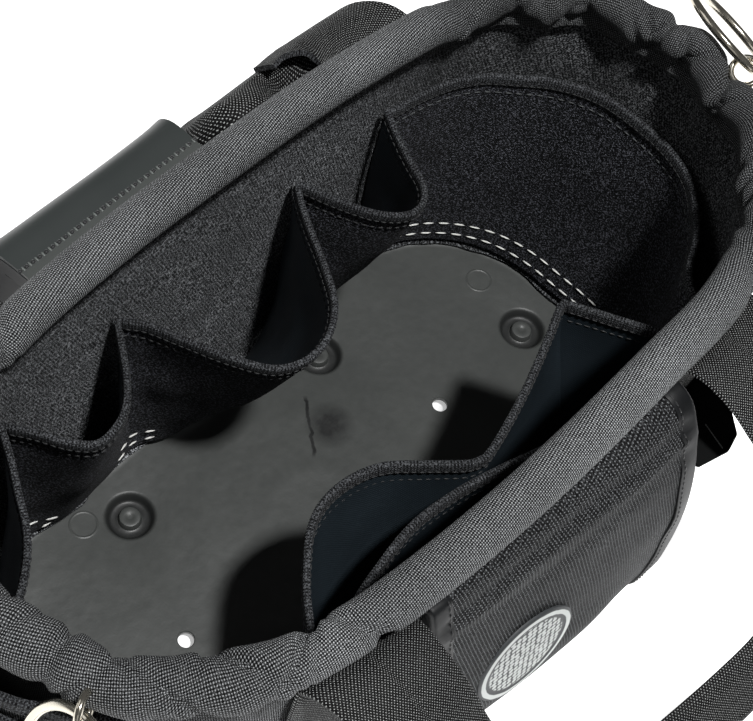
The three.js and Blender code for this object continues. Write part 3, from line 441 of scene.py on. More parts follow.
def makePiece(name, stock, materials, sharp=50):
    mesh = bpy.data.meshes.new(name)
    mesh.from_pydata(toFrame(np.vstack(stock["points"])).tolist(), [], stock["faces"])
    layer = mesh.uv_layers.new(name="lay")
    layer.data.foreach_set("uv", np.array([c for lay in stock["lays"] for c in lay], float).ravel())
    mesh.polygons.foreach_set("material_index", stock["finish"])
    for material in materials:
        mesh.materials.append(material)
    form = bmesh.new()
    form.from_mesh(mesh)
    bmesh.ops.recalc_face_normals(form, faces=form.faces)
    form.to_mesh(mesh)
    form.free()
    return placeMesh(name, mesh, sharp)


def smoothStep(value, low, high):
    u = np.clip((np.asarray(value, float) - low) / (high - low), 0, 1)
    return u * u * (3 - 2 * u)


# even curve through all points, without overshoot where they crowd
def smoothLine(points, perSpan, closed=False):
    points = np.asarray(points, float)
    if closed:
        held = np.vstack([points[-1:], points, points[:2]])
    else:
        held = np.vstack([2 * points[:1] - points[1:2], points, 2 * points[-1:] - points[-2:-1]])
    t = np.linspace(0, 1, perSpan, endpoint=False)[:, None]
    parts = []
    for i in range(len(held) - 3):
        a, b, c, d = held[i:i + 4]
        p, q, r = [max(np.linalg.norm(n - m), 1e-6) ** 0.5 for m, n in ((a, b), (b, c), (c, d))]
        start = ((b - a) / p - (c - a) / (p + q) + (c - b) / q) * q
        end = ((c - b) / q - (d - b) / (q + r) + (d - c) / r) * q
        parts.append(b + start * t + (3 * c - 3 * b - 2 * start - end) * t ** 2
                     + (2 * b - 2 * c + start + end) * t ** 3)
    if not closed:
        parts.append(points[-1:])
    return np.vstack(parts)


# soft unevenness of cloth: a few long waves laid over each other, about -1 to 1
def unevenness(u, v, size, seed):
    rng = np.random.default_rng(seed)
    total = 0
    for _ in range(7):
        angle, phase, stretch = rng.uniform(0, math.pi), rng.uniform(0, 2 * math.pi), rng.uniform(0.6, 1.7)
        along = np.cos(angle) * u + np.sin(angle) * v
        total = total + np.sin(along * 2 * math.pi / (size * stretch) + phase)
    return total / 4


# plan of the mouth, counter-clockwise from the middle of the far end, and the wall's rules
rim = dict(
    plan=[(200, 0), (200, 16), (196, 34), (185, 52), (166, 68), (140, 79), (105, 85), (60, 89.5), (0, 91.5),
          (-50, 92), (-110, 88), (-142, 80), (-168, 62), (-184, 40), (-190, 20), (-189, 2), (-186, -14),
          (-180.5, -30), (-170, -46), (-153, -62), (-133, -72.5), (-105, -81), (-76, -85.5), (-30, -89.5),
          (10, -91), (60, -91), (107, -90), (140, -82), (166, -68), (184, -50), (194, -34), (198.5, -18)],
    # gathers of each end: place along the rim, width, lift, push
    far=[(112, 9, -2.5, -1.5), (88, 8, 2.5, 2), (66, 7, -3.5, -3), (44, 9, 2, 2), (22, 7, -2, -1),
         (-4, 9, 1.5, 1.5), (-28, 8, -3, -2.5), (-52, 9, 2, 1.5), (-80, 9, -2.5, -2), (-104, 8, 1.5, 1)],
    near=[(108, 9, 2, 1.5), (82, 8, -3, -2), (56, 9, 2, 2.5), (32, 8, -2.5, -2), (8, 9, 2, 2),
          (-18, 7, -3, -2), (-44, 9, 2.5, 1.5), (-70, 8, -2.5, -2.5), (-96, 9, 2, 1.5)])
rimLine = smoothLine(rim["plan"], 120, True)
rimLine = np.vstack([rimLine, rimLine[:1]])
rimLengths = lengthsOf(rimLine)
rimLength = rimLengths[-1]


def rimAt(s):
    d = np.mod(s, rimLength)
    return np.stack([np.interp(d, rimLengths, rimLine[:, 0]), np.interp(d, rimLengths, rimLine[:, 1])], -1)


def rimOut(s, reach=2):
    run = rimAt(s + reach) - rimAt(s - reach)
    out = np.stack([run[..., 1], -run[..., 0]], -1)
    return out / np.linalg.norm(out, axis=-1, keepdims=True)


def alongAtX(x, side):
    rows = np.where(rimLine[:, 1] * side > 0)[0]
    picks = [rows[np.argmin(np.abs(rimLine[rows, 0] - value))] for value in np.atleast_1d(x)]
    return rimLengths[picks]


nearMiddle = rimLengths[np.where((np.abs(rimLine[:, 1]) < 1.2) & (rimLine[:, 0] < 0))[0][-1]]


def wrapped(d):
    return np.mod(d + rimLength / 2, rimLength) - rimLength / 2


def gatherAt(s, which):
    total = 0
    for rows, d in ((rim["far"], wrapped(s)), (rim["near"], wrapped(nearMiddle - s))):
        for row in rows:
            total = total + row[2 + which] * np.exp(-((d - row[0]) / row[1]) ** 2)
    return total


def trayEdge(angle, inset):
    a, b, r = tray["halfLength"] - inset, tray["halfWidth"] - inset, tray["corner"] - inset
    c, s = np.abs(np.cos(angle)), np.abs(np.sin(angle))
    d = np.minimum(a / np.maximum(c, 1e-9), b / np.maximum(s, 1e-9))
    cx, cy = a - r, b - r
    run = cx * c + cy * s
    corner = run + np.sqrt(np.maximum(run * run - cx * cx - cy * cy + r * r, 0))
    d = np.where((d * c > cx) & (d * s > cy), corner, d)
    return np.stack([d * np.cos(angle), d * np.sin(angle)], -1)


wall = dict(thick=2, top=186.2, tailBottom=186.8, belly=2.5, clothInset=3.8)


# middle of the cloth wall at a place along the rim and a height
def wallPoint(s, z):
    s, z = np.broadcast_arrays(np.asarray(s, float), np.asarray(z, float))
    m = rimAt(s)
    angle = np.arctan2(m[..., 1], m[..., 0])
    low = trayEdge(angle, wall["clothInset"] + 1.7 * (1 - smoothStep(z, 11, 16)))
    f = np.clip((z - tray["top"]) / (wall["tailBottom"] - tray["top"]), 0, 1)
    push = gatherAt(s, 1) * smoothStep(z, 158, wall["top"]) + wall["belly"] * np.sin(math.pi * f)
    plan = low + (m - low) * f[..., None] + rimOut(s) * push[..., None]
    return np.concatenate([plan, z[..., None]], -1)


# point off the wall's inner face (positive) or outer face (negative)
def offWall(s, z, distance):
    s, z, distance = np.broadcast_arrays(*[np.asarray(value, float) for value in (s, z, distance)])
    run = wallPoint(s + 3, z) - wallPoint(s - 3, z)
    inward = np.stack([-run[..., 1], run[..., 0], np.zeros_like(z)], -1)
    inward /= np.linalg.norm(inward, axis=-1, keepdims=True)
    return wallPoint(s, z) + inward * (distance + np.sign(distance) * wall["thick"] / 2)[..., None]


def finishPiece(piece, slotName, *nodes):
    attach(piece, "root")
    if nodes:
        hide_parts(*nodes)


# moulded tray: rounded dish, hollow feet with a button, chamfered drain holes
def trayOutline(inset):
    a, b, r = tray["halfLength"] - inset, tray["halfWidth"] - inset, tray["corner"] - inset
    line = []
    for k, (cx, cy) in enumerate(((a - r, b - r), (r - a, b - r), (r - a, r - b), (a - r, r - b))):
        for t in np.linspace(0, math.pi / 2, 25):
            line.append((cx + r * math.cos(t + k * math.pi / 2), cy + r * math.sin(t + k * math.pi / 2)))
        nextCorner = ((r - a, b - r), (r - a, r - b), (a - r, r - b), (a - r, b - r))[k]
        start, stop = np.array(line[-1]), np.array(nextCorner) + r * np.array(
            [math.cos((k + 1) * math.pi / 2), math.sin((k + 1) * math.pi / 2)])
        steps = 16 if k % 2 == 0 else 4
        line += [tuple(start + (stop - start) * i / steps) for i in range(1, steps)]
    return np.array(line)


def buildTray():
    form = bmesh.new()
    t = tray

    def loop(points, z):
        return [form.verts.new(toFrame((x, y, z))) for x, y in points]

    def bridge(lower, upper):
        for i in range(len(lower)):
            j = (i + 1) % len(lower)
            form.faces.new((lower[i], lower[j], upper[j], upper[i]))

    def circle(x, y, r, sides=40):
        return [(x + r * math.cos(2 * math.pi * k / sides), y + r * math.sin(2 * math.pi * k / sides))
                for k in range(sides)]

    r, top, wide = t["underFillet"], t["top"], t["wall"]
    profile = [(r - r * math.sin(a), t["floorUnder"] + r - r * math.cos(a))
               for a in np.linspace(0, math.pi / 2, 9)]
    profile += [(0, 22), (0, 30), (0, top - 1), (0.35, top - 0.3), (0.9, top), (wide - 0.9, top),
                (wide - 0.35, top - 0.3), (wide, top - 1), (wide, 30), (wide, 22)]
    r = t["fillet"]
    profile += [(wide + r - r * math.cos(a), t["floorTop"] + r - r * math.sin(a))
                for a in np.linspace(0, math.pi / 2, 11)]
    loops = [loop(trayOutline(inset), z) for inset, z in profile]
    for lower, upper in zip(loops, loops[1:]):
        bridge(lower, upper)
    topLoops, underLoops = [loops[-1]], [loops[0]]
    # each foot: dished recess with a button above, a rounded boss below
    recess = [(13.6, 8), (12.8, 7.85), (12.1, 7.4), (11.6, 6.7), (10.6, 4.2), (10.0, 3.4), (9.2, 3), (6.6, 3),
              (5.9, 3.3), (5.7, 3.9), (5.4, 6.3), (5.1, 6.8), (4.5, 7), (2.2, 7), (1.6, 6.6), (0.8, 6.5)]
    boss = [(13.5, 5), (13.2, 4.4), (12.3, 1.4), (11.8, 0.5), (11, 0), (6, 0), (1, 0)]
    for x, y in t["feet"]:
        for line, holes in ((recess, topLoops), (boss, underLoops)):
            rings = [loop(circle(x, y, r), z) for r, z in line]
            for lower, upper in zip(rings, rings[1:]):
                bridge(lower, upper)
            form.faces.new(rings[-1])
            holes.append(rings[0])
    r = t["drainRadius"]
    bore = [(r + 0.5, t["floorTop"]), (r, 7.5), (r, 5.4), (r + 0.4, t["floorUnder"])]
    for x, y in t["drains"]:
        rings = [loop(circle(x, y, r, 32), z) for r, z in bore]
        for lower, upper in zip(rings, rings[1:]):
            bridge(lower, upper)
        topLoops.append(rings[0])
        underLoops.append(rings[-1])
    for group in (topLoops, underLoops):
        edges = [form.edges.get(ends) for ring in group for ends in zip(ring, ring[1:] + ring[:1])]
        bmesh.ops.triangle_fill(form, use_beauty=True, use_dissolve=False, edges=edges)
    bmesh.ops.recalc_face_normals(form, faces=form.faces)
    mesh = bpy.data.meshes.new("trayDish")
    form.to_mesh(mesh)
    form.free()
    mesh.materials.append(trayPlastic)
    return placeMesh("trayDish", mesh, 38)


trayDish = buildTray()
finishPiece(trayDish, "tray_plastic", "base_tray")
print("tray made:", len(trayDish.data.polygons), "faces")

# cloth wall: hem laid on the tray's fillet with a wavy cut edge, belly, gathers under the rim
hem = dict(edge=8.0, wave=1.1, stitchHeights=(22.0, 31.5),
           flaps=[(-86, 1, 10, 3.0), (-100, 1, 8, 2.0), (30, 1, 16, 1.2)])
wallAlong = np.arange(0, rimLength - 1.2, 2.6)
heights = np.concatenate([[15, 18, 21.5, 25, 29, 33, 37, 42], np.linspace(50, 150, 11),
                          np.linspace(156, wall["top"], 8)])
angles = np.arctan2(*rimAt(wallAlong).T[::-1])
edgeInset = hem["edge"] + hem["wave"] * unevenness(wallAlong, 0, 46, 3) + 0.5 * unevenness(wallAlong, 0, 15, 4)
for x, side, width, reach in hem["flaps"]:
    edgeInset = edgeInset + reach * np.exp(-(wrapped(wallAlong - alongAtX(x, side)[0]) / width) ** 2)
wallRows = []
for share in np.linspace(0, 1, 7)[:-1]:
    sweepAngle = np.arccos(np.clip((9.5 - np.minimum(edgeInset, 9.4)) / 5.7, 0, 1)) * (1 - share)
    inset = 9.5 - 5.7 * np.cos(sweepAngle) + (np.maximum(edgeInset - 9.4, 0) if share == 0 else 0)
    plan = np.array([trayEdge(a, i) for a, i in zip(angles, inset)])
    wallRows.append(np.column_stack([plan, 15 - 5.7 * np.sin(sweepAngle) + 0.35]))
for z in heights:
    row = wallPoint(wallAlong, z)
    swell = 0.5 * smoothStep(z, 45, 80) * unevenness(wallAlong, z, 90, 5)
    swell = swell + 1.5 * smoothStep(z, 140, 184) * smoothStep(np.abs(rimAt(wallAlong)[:, 0]), 120, 165) \
        * unevenness(wallAlong, z * 0.3, 17, 6)
    row[:, :2] += rimOut(wallAlong) * swell[:, None]
    wallRows.append(row)
stock = newStock()
addSheet(stock, np.array(wallRows), wall["thick"], (0, 1, 1), closed=True)
wallCloth = makePiece("wallCloth", stock, [shellNylon, innerNylon])
finishPiece(wallCloth, "shell_cloth", "bag_wall")
print("wall made:", len(wallCloth.data.polygons), "faces")

# rim casing: sleeve on a short tail, plain on the sides and pleated round both ends
casing = dict(centreZ=203, radius=9.3, cloth=1.5, tailHalf=2.6, slitHalf=1.1, nearSwell=0.2,
              pleatStep=12, pleatDepth=5.2, wobble=0.11,
              band=[(3.1, 193.2), (3.7, 191.6), (4.0, 189.6), (3.9, 188), (3.5, 187.2), (2.6, 186.8)])
pleatRng = np.random.default_rng(12)
pleats = []
for middleS in (0, nearMiddle):
    spot = -128.0
    while spot < 128:
        depth, width = pleatRng.uniform(0.2, 1.0) * casing["pleatDepth"], pleatRng.uniform(1.5, 4.0)
        pleats.append((middleS + spot, depth, width, pleatRng.uniform(-9, 9), pleatRng.uniform(0.8, 5.5)))
        spot += casing["pleatStep"] * pleatRng.uniform(0.6, 1.4)
casingAlong = []
spot = 0.0
while spot < rimLength - 1.0:
    casingAlong.append(spot)
    spot += 1.0 if abs(rimAt(spot)[0]) > 100 else 4.0
casingAlong = np.array(casingAlong)


def casingSection(s):
    m, out = rimAt(s), rimOut(s, 3)
    lift, push = gatherAt(s, 0), gatherAt(s, 1)
    tail = push + wall["belly"] * math.sin(math.pi * 0.995)
    near = abs(wrapped(nearMiddle - s + 25))
    ends = smoothStep(abs(m[0]), 112, 150)
    radius = casing["radius"] * (1 + casing["nearSwell"] * (1 - smoothStep(near, 40, 105))
                                 + casing["wobble"] * ends * unevenness(s, 0, 36, 9))

    def ringPoints(r, half, count, folded):
        start = math.asin(half / r)
        rows = []
        for a in np.linspace(start, 2 * math.pi - start, count):
            fold = 0
            if folded:
                for middleS, depth, width, lean, side in pleats:
                    off = wrapped(s - middleS) + lean * (a - math.pi)
                    if abs(off) < 4 * width:
                        share = 0.35 + 0.65 * math.cos((a - side) / 2) ** 2
                        fold += depth * math.exp(-(off / width) ** 2) * share
                fold *= smoothStep(min(a - start, 2 * math.pi - start - a), 0, 0.5)
            rows.append((push + (r - fold) * math.sin(a), casing["centreZ"] + lift - (r - fold) * math.cos(a)))
        return rows

    line = [(tail + casing["tailHalf"], wall["tailBottom"])] + ringPoints(radius, casing["tailHalf"], 30, True)
    # sewn band under the tube on the inside
    line += [(tail - n, z) for n, z in casing["band"]]
    line += [(tail - casing["slitHalf"], wall["tailBottom"])]
    line += ringPoints(radius - casing["cloth"] - 1.6, casing["slitHalf"], 10, False)[::-1]
    line += [(tail + casing["slitHalf"], wall["tailBottom"])]
    return [(m[0] + out[0] * n, m[1] + out[1] * n, z) for n, z in line]


stock = newStock()
addSweep(stock, [casingSection(s) for s in casingAlong], closed=True)
bandStitches = [np.array([np.append(rimAt(s) - rimOut(s, 3) * (4.1 - gatherAt(s, 1)), 188.9)
                          for s in casingAlong])]
rimSleeve = makePiece("rimSleeve", stock, [shellNylon], sharp=60)
finishPiece(rimSleeve, "shell_cloth", "rim_casing")
print("rim sleeve made:", len(rimSleeve.data.polygons), "faces")

# wire rings: a small one through the casing at each end and a large one hung in it
rings = dict(small=(6.3, 1.45), large=(27, 2),
             far=dict(at=(205.5, -28.5, 208), axis=(-0.45, -0.05, 0.89), slack=2.35, free=(0.82, -0.09, 0.56),
                      hang=(0.65, 0.7, -0.31), along=(-0.45, 0.68, 0.58)),
             near=dict(at=(-190.6, -38.8, 207), axis=(0.45, -0.85, 0.15), slack=1.8, free=(-0.75, -0.4, -0.5),
                       hang=(-0.5, -0.37, -0.78), along=(-0.05, -0.95, 0.3)))


def wireRing(name, centre, axis, radius, thick):
    axis = Vector(axis).normalized()
    u = axis.orthogonal().normalized()
    v = axis.cross(u)
    centre, rise = np.array(centre), np.array(axis)
    sections = []
    for k in range(96):
        a = 2 * math.pi * k / 96
        out = np.array(u * math.cos(a) + v * math.sin(a))
        sections.append([centre + out * (radius + thick * math.cos(b)) + rise * thick * math.sin(b)
                         for b in np.linspace(0, 2 * math.pi, 18, endpoint=False)])
    stock = newStock()
    addSweep(stock, sections, closed=True)
    return makePiece(name, stock, [nickel])


for end in ("far", "near"):
    r = rings[end]
    small = wireRing(end + "SmallRing", r["at"], r["axis"], *rings["small"])
    hang = Vector(r["hang"]).normalized()
    start = Vector(r["at"]) + Vector(r["free"]) * r["slack"]
    run = Vector(r["along"]) - hang * Vector(r["along"]).dot(hang)
    centre, axis = start + hang * rings["large"][0], hang.cross(run.normalized())
    large = wireRing(end + "LargeRing", centre, axis, *rings["large"])
    finishPiece(small, "nickel", "small_ring_" + end)
    finishPiece(large, "nickel", "large_ring_" + end)
print("rings made")


# tape folded over an edge; inside is the line next to the edge on the cloth
def bindEdge(stock, edge, inside, clothThick, depth, tapeThick=0.65, finish=0):
    edge, inside = np.asarray(edge, float), np.asarray(inside, float)
    run = np.gradient(edge, axis=0)
    down = inside - edge
    down /= np.linalg.norm(down, axis=1, keepdims=True)
    normal = np.cross(run, down)
    normal /= np.maximum(np.linalg.norm(normal, axis=1, keepdims=True), 1e-9)
    gap = clothThick / 2 + 0.15
    face = gap + tapeThick
    line = [(-face + 0.3, depth + 0.1), (-face, depth - 0.6), (-face - 0.05, depth / 2), (-face, 1.2)]
    line += [(face * math.sin(a), 0.4 - 1.2 * math.cos(a)) for a in np.linspace(-1.25, 1.25, 7)]
    line += [(face, 1.2), (face + 0.05, depth / 2), (face, depth - 0.6), (face - 0.3, depth + 0.1),
             (gap, depth), (gap, -0.25), (-gap, -0.25), (-gap, depth)]
    sections = [[edge[k] + normal[k] * n + down[k] * d for n, d in line] for k in range(len(edge))]
    addSweep(stock, sections, finish=finish)
    return normal, down, face


# inner pockets: table rows are place along X, distance from the wall at the top edge and at the foot, rise
pockets = dict(
    rows=20, ease=1.25, thick=1.5, tapeDepth=5.6, footZ=16,
    backStrip=dict(side=1, topZ=146, corners=(8, 19, 27), lean=10, seams=(54, -45, -111), table=[
        (105.5, 3, 2.2, 12), (103, 16, 3, 6), (100, 28, 4, 3), (97, 40.5, 5, 1), (91, 46.5, 6), (82, 47.5, 6),
        (72, 40, 5), (63, 25, 4), (54, 3, 2.2), (49, 10, 3), (42, 22, 4), (31, 43, 6), (20, 60, 8),
        (6, 69, 10), (-8, 70.5, 12), (-21, 65, 12), (-32, 49, 11), (-41, 28, 8), (-48, 12, 4), (-55, 3, 2.2),
        (-62, 13, 3), (-72, 26, 5), (-82, 35, 6), (-92, 38.5, 7), (-102, 38, 7), (-109, 30, 5), (-115, 16, 3),
        (-121, 3, 2.2)],
        # round the near corner: top edge and foot in plan
        corner=[(-129, 72, -131, 82), (-137, 58, -146, 76), (-145, 44, -158, 66), (-155, 33, -168, 53),
                (-167, 24, -176, 38), (-179.5, 16, -183.5, 20)]),
    frontBacking=dict(side=-1, topZ=146, corners=(), table=[
        (-100, 3, 2.2), (-88, 13, 3), (-76, 22, 4), (-56, 28, 5), (-34, 31.5, 6), (-13, 30, 6), (6, 26, 5),
        (26, 20, 4), (46, 13, 3), (62, 7, 2.5), (74, 3, 2.2)]),
    frontStrip=dict(side=-1, topZ=146, corners=(11, 16), table=[
        (-110, 3, 2.2), (-104, 12, 5), (-95, 25, 8), (-86, 38, 10), (-77, 48, 12), (-67, 57, 13),
        (-55, 62, 13), (-40, 62.5, 13), (-25, 58, 12), (-8, 45, 11), (5, 34, 10), (11, 32, 10), (18, 33, 10),
        (47, 40.5, 11),
        (82, 53, 12), (92, 56.5, 12), (97, 57, 11), (102, 49, 9), (108, 37, 7), (115, 20, 4), (120, 9, 3),
        (124, 3, 2.2)]),
    # round the far end: place along the rim instead of X
    endPanel=dict(side=0, topZ=154, corners=(), table=[
        (141, 3, 2.2), (122, 3, 2.4), (104, 3, 2.6), (87, 4, 3), (68, 6.4, 3), (46, 5.6, 3), (23, 3.8, 3),
        (0, 3.4, 3), (-19, 4.4, 3), (-38, 6.8, 3), (-57, 10.4, 3.5), (-76, 13.4, 4), (-94, 16, 4),
        (-106, 14, 4), (-114, 8.5, 3), (-121, 3, 2.2)]))
tapeStitches, panelStitches, endStitches, hemLines = [], [], [], []
stitchLift = 0.25


def pocketGrid(pocket, seed):
    tops, feet = [], []
    for row in pocket["table"]:
        s = row[0] if pocket["side"] == 0 else alongAtX(row[0], pocket["side"])[0]
        z = pocket["topZ"] + (row[3] if len(row) > 3 else 0)
        tops.append(offWall(s, z, row[1]))
        if pocket.get("lean"):  # seams slant towards the far end
            s = alongAtX(row[0] + pocket["lean"] * smoothStep(-row[0], -20, 40), pocket["side"])[0]
        feet.append(offWall(s, pockets["footZ"], row[2]))
    for x, y, footX, footY in pocket.get("corner", ()):
        tops.append((x, y, pocket["topZ"]))
        feet.append((footX, footY, pockets["footZ"]))
    tops, feet = np.array(tops), np.array(feet)
    marks = [0, *pocket["corners"], len(tops) - 1]
    lines = []
    for line in (tops, feet):
        parts = [smoothLine(line[a:b + 1], 5) for a, b in zip(marks, marks[1:])]
        lines.append(np.vstack([part[(1 if i else 0):] for i, part in enumerate(parts)]))
    top, foot = lines
    grid = []
    for u in np.linspace(0, 1, pockets["rows"]):
        row = foot + (top - foot) * (1 - (1 - u) ** pockets["ease"])
        row[:, 2] = foot[:, 2] + (top[:, 2] - foot[:, 2]) * u
        grid.append(row)
    grid = np.array(grid)
    # slack of the cloth between its held edges
    u = np.linspace(0, 1, pockets["rows"])[:, None]
    away = lengthsOf(grid[-1])[None, :]
    slack = 0.8 * np.sin(math.pi * u) * unevenness(away, u * 130, 60, seed)
    return grid + facing(grid) * slack[:, :, None]


for seed, (key, node, tapeNode, flat) in enumerate((
        ("backStrip", "back_pocket_strip", "back_strip_binding", (0.142, 0.49)),
        ("endPanel", "end_pocket_panel", "end_panel_binding", (0.138, 0.26)),
        ("frontBacking", "front_backing_panel", "front_backing_binding", (0.134, 0.185)),
        ("frontStrip", "front_pocket_strip", "front_strip_binding", (0.142, 0.31)))):
    grid = pocketGrid(pockets[key], 20 + seed)
    stock = newStock()
    facesIn = crossings(grid).sum((0, 1))[:2] @ -grid.mean((0, 1))[:2] > 0
    addSheet(stock, grid, pockets["thick"], (0, 1, 0) if facesIn else (1, 0, 0))
    panel = makePiece(key + "Cloth", stock, [napVelour, coatedBack])
    finishPiece(panel, "lining_cloth", node)
    stock = newStock()
    normal, down, face = bindEdge(stock, grid[-1], grid[-2], pockets["thick"], pockets["tapeDepth"])
    tape = makePiece(key + "Tape", stock, [ribTape], sharp=70)
    finishPiece(tape, "binding_tape", tapeNode)
    if key != "frontBacking":  # two white rows hold the strip's foot to the hem
        over = (pockets["thick"] / 2 + stitchLift) * (1 if facesIn else -1)
        skin = (grid + facing(grid) * over)[:, 3:-3]
        for z in hem["stitchHeights"]:
            row = np.array([[np.interp(z, line[:, 2], line[:, k]) for k in range(3)]
                            for line in skin.swapaxes(0, 1)])
            if "seams" in pockets[key]:  # the bulges hide the rest
                hemLines += [row[np.abs(row[:, 0] - seam) < 9] for seam in pockets[key]["seams"]]
            else:
                hemLines.append(row)
    for sign in (1, -1):
        tapeStitches.append(grid[-1] + normal * sign * (face + 0.15) + down * (pockets["tapeDepth"] - 1.3))
        (endStitches if key == "endPanel" else panelStitches).append(
            grid[-1] + normal * sign * (pockets["thick"] / 2 + 0.15) + down * 11)
    print(key, "made:", len(panel.data.polygons), "faces, edge", round(lengthsOf(grid[-1])[-1]), "foot",
          round(lengthsOf(grid[0])[-1]), "height", round(lengthsOf(grid[:, 40])[-1]))

# outer pockets: distance from the wall at the far side and at the near side for each height
outer = dict(
    thick=1.8, sideThick=1.2, seed=31,
    front=dict(side=-1, start=-73, stop=70.5, crown=0.06, cols=48, slack=1.2, bandDepth=9.0, seamRow=0, rows=[
        (1.4, 1.4, 183), (8, 6.5, 187), (15, 8.5, 183.5), (21, 11, 174), (27, 14.4, 157), (32.5, 18.8, 136),
        (37, 24, 110), (39.5, 28.4, 88), (41, 26, 64), (37, 17, 47), (22, 9, 41), (7, 4, 42), (1.4, 1.4, 44)],
        # folds that run along under the tube: height, width, depth
        folds=[(178, 2.6, -1.6), (171.5, 3.2, 1.5), (163, 3.6, -1.3)]),
    # its turned-over top ends at the seam's row
    vinyl=dict(side=1, start=-85, stop=10, crown=-0.06, cols=28, slack=0.7, bandDepth=0, seamRow=7, rows=[
        (1.4, 1.4, 184), (10, 10, 188.5), (23, 23, 189.5), (34, 34, 188), (40, 40, 182.5), (43, 43, 171),
        (44, 44, 140), (43, 43, 100), (37, 37, 66), (22, 22, 50), (9, 9, 45), (1.4, 1.4, 42)], folds=[]))


def outerGrid(pocket):
    cols = pocket["cols"]
    profile = smoothLine(pocket["rows"], 4)
    x = np.linspace(pocket["start"], pocket["stop"], cols)
    s = alongAtX(x, pocket["side"])
    across = np.linspace(-1, 1, cols)
    bulge = 1 + pocket["crown"] / 2 - pocket["crown"] * across ** 2
    grid = np.array([offWall(s, z, -(near + (far - near) * (across + 1) / 2) * bulge)
                     for far, near, z in profile])
    out = facing(grid)
    out *= np.sign(out[len(out) // 2, cols // 2, 1] * pocket["side"])
    held = np.sin(np.linspace(0, math.pi, len(profile)))[:, None] * (1 - across[None, :] ** 4)
    z = profile[:, 2:3]
    rise = pocket["slack"] * unevenness(x[None, :], z, 55, outer["seed"])
    past = np.arange(len(profile))[:, None] > len(profile) // 8
    for height, width, depth in pocket["folds"]:
        middle = height + 1.5 * np.sin(x[None, :] / 21 + height)
        rise = rise + past * depth * np.exp(-((z - middle) / width) ** 2)
    return grid + out * (held ** 0.5 * rise)[:, :, None]


def gussetGrid(pocket, x, grid, column):
    s = alongAtX(x, pocket["side"])[0]
    rows = []
    for edge, profile in zip(grid[:, column], smoothLine(pocket["rows"], 4)):
        if profile[0] > 9:
            foot = offWall(s, edge[2] - (6 if edge[2] > 180 else 0), -3)
            rows.append([foot + (edge - foot) * t for t in (0, 0.33, 0.66, 0.93)])
    return np.array(rows)


def buildOuter(key, panelName, node, slotName, materials):
    pocket = outer[key]
    seamRow, depth = pocket["seamRow"], pocket["bandDepth"]
    grid = outerGrid(pocket)
    stock = newStock()
    if seamRow:  # a turned-over top of another finish
        addSheet(stock, grid[:seamRow + 1], outer["thick"], (1, 1, 1))
    addSheet(stock, grid[seamRow:], outer["thick"])
    panel = makePiece(panelName, stock, materials)
    finishPiece(panel, slotName, node)
    lines = []
    for end, column, inner, x in (("left", 0, 1, pocket["start"] + 3), ("right", -1, -2, pocket["stop"] - 3)):
        stock = newStock()
        if depth:
            normal, down, face = bindEdge(stock, grid[:, column], grid[:, inner], outer["thick"], depth, 1.1)
            for sign in (1, -1):
                lines.append(grid[:, column] + normal * sign * (face + 0.15) + down * (depth - 1.6))
        addSheet(stock, gussetGrid(pocket, x, grid, column), outer["sideThick"])
        side = makePiece(key + "Side" + end.title(), stock, [darkVinyl])
        finishPiece(side, "coated_cloth", key + "_gusset_" + end)
    print(panelName, "made:", len(panel.data.polygons), "faces, edge", round(lengthsOf(grid[20])[-1]),
          "height", round(lengthsOf(grid[:, 5])[-1]))
    return grid, lines


frontBandLines = buildOuter("front", "frontPouch", "front_pocket_panel", "shell_cloth", [ribNylon])[1]
vinylGrid = buildOuter("vinyl", "vinylPouch", "vinyl_pocket", "coated_cloth", [satinVinyl, highlightedVinylFold])[0]

# plain round patch on the front pouch
patch = dict(x=-27, z=115.5, lift=0.5, sides=64,
             # radius and rise of each ring of points
             rings=[(0, 1.0), (5, 1.0), (10, 1.0), (15, 1.0), (19, 1.0), (20.8, 1.0), (21.3, 1.35),
                    (23.8, 1.35), (24.4, 1.2), (24.9, 0.8), (25, 0.0)])
frontProfile = smoothLine(outer["front"]["rows"], 4)
frontProfile = frontProfile[frontProfile[:, 2].argmax():][::-1]


def onFrontPouch(x, z, distance):
    pocket = outer["front"]
    across = 2 * (x - pocket["start"]) / (pocket["stop"] - pocket["start"]) - 1
    far, near = [np.interp(z, frontProfile[:, 2], frontProfile[:, k]) for k in (0, 1)]
    out = near + (far - near) * (across + 1) / 2
    bulge = 1 + pocket["crown"] / 2 - pocket["crown"] * across ** 2
    return offWall(alongAtX(x, -1)[0], z, -out * bulge - distance)


points, lays, faces = [], [], []
count = patch["sides"]
for radius, rise in patch["rings"]:
    for a in np.arange(count) * 2 * math.pi / count:
        x, z = radius * math.cos(a), radius * math.sin(a)
        points.append(onFrontPouch(patch["x"] + x, patch["z"] + z, outer["thick"] / 2 + patch["lift"] + rise))
        lays.append((x, z))
for first in range(0, len(points) - count, count):
    for k in range(count):
        n = (k + 1) % count
        inner = [0] if first == 0 else [first + n, first + k]
        faces.append(inner + [first + count + k, first + count + n])
faces.append(list(range(len(points) - 1, len(points) - count - 1, -1)))
# the first ring is one point
where = lambda v: max(v - count + 1, 0)
stock = newStock()
addFaces(stock, points[:1] + points[count:], [[where(v) for v in face] for face in faces],
         [[lays[v] for v in face] for face in faces], [0] * len(faces))
roundPatch = makePiece("roundPatch", stock, [patchRubber], sharp=40)
finishPiece(roundPatch, "patch", "round_badge")
print("patch made")

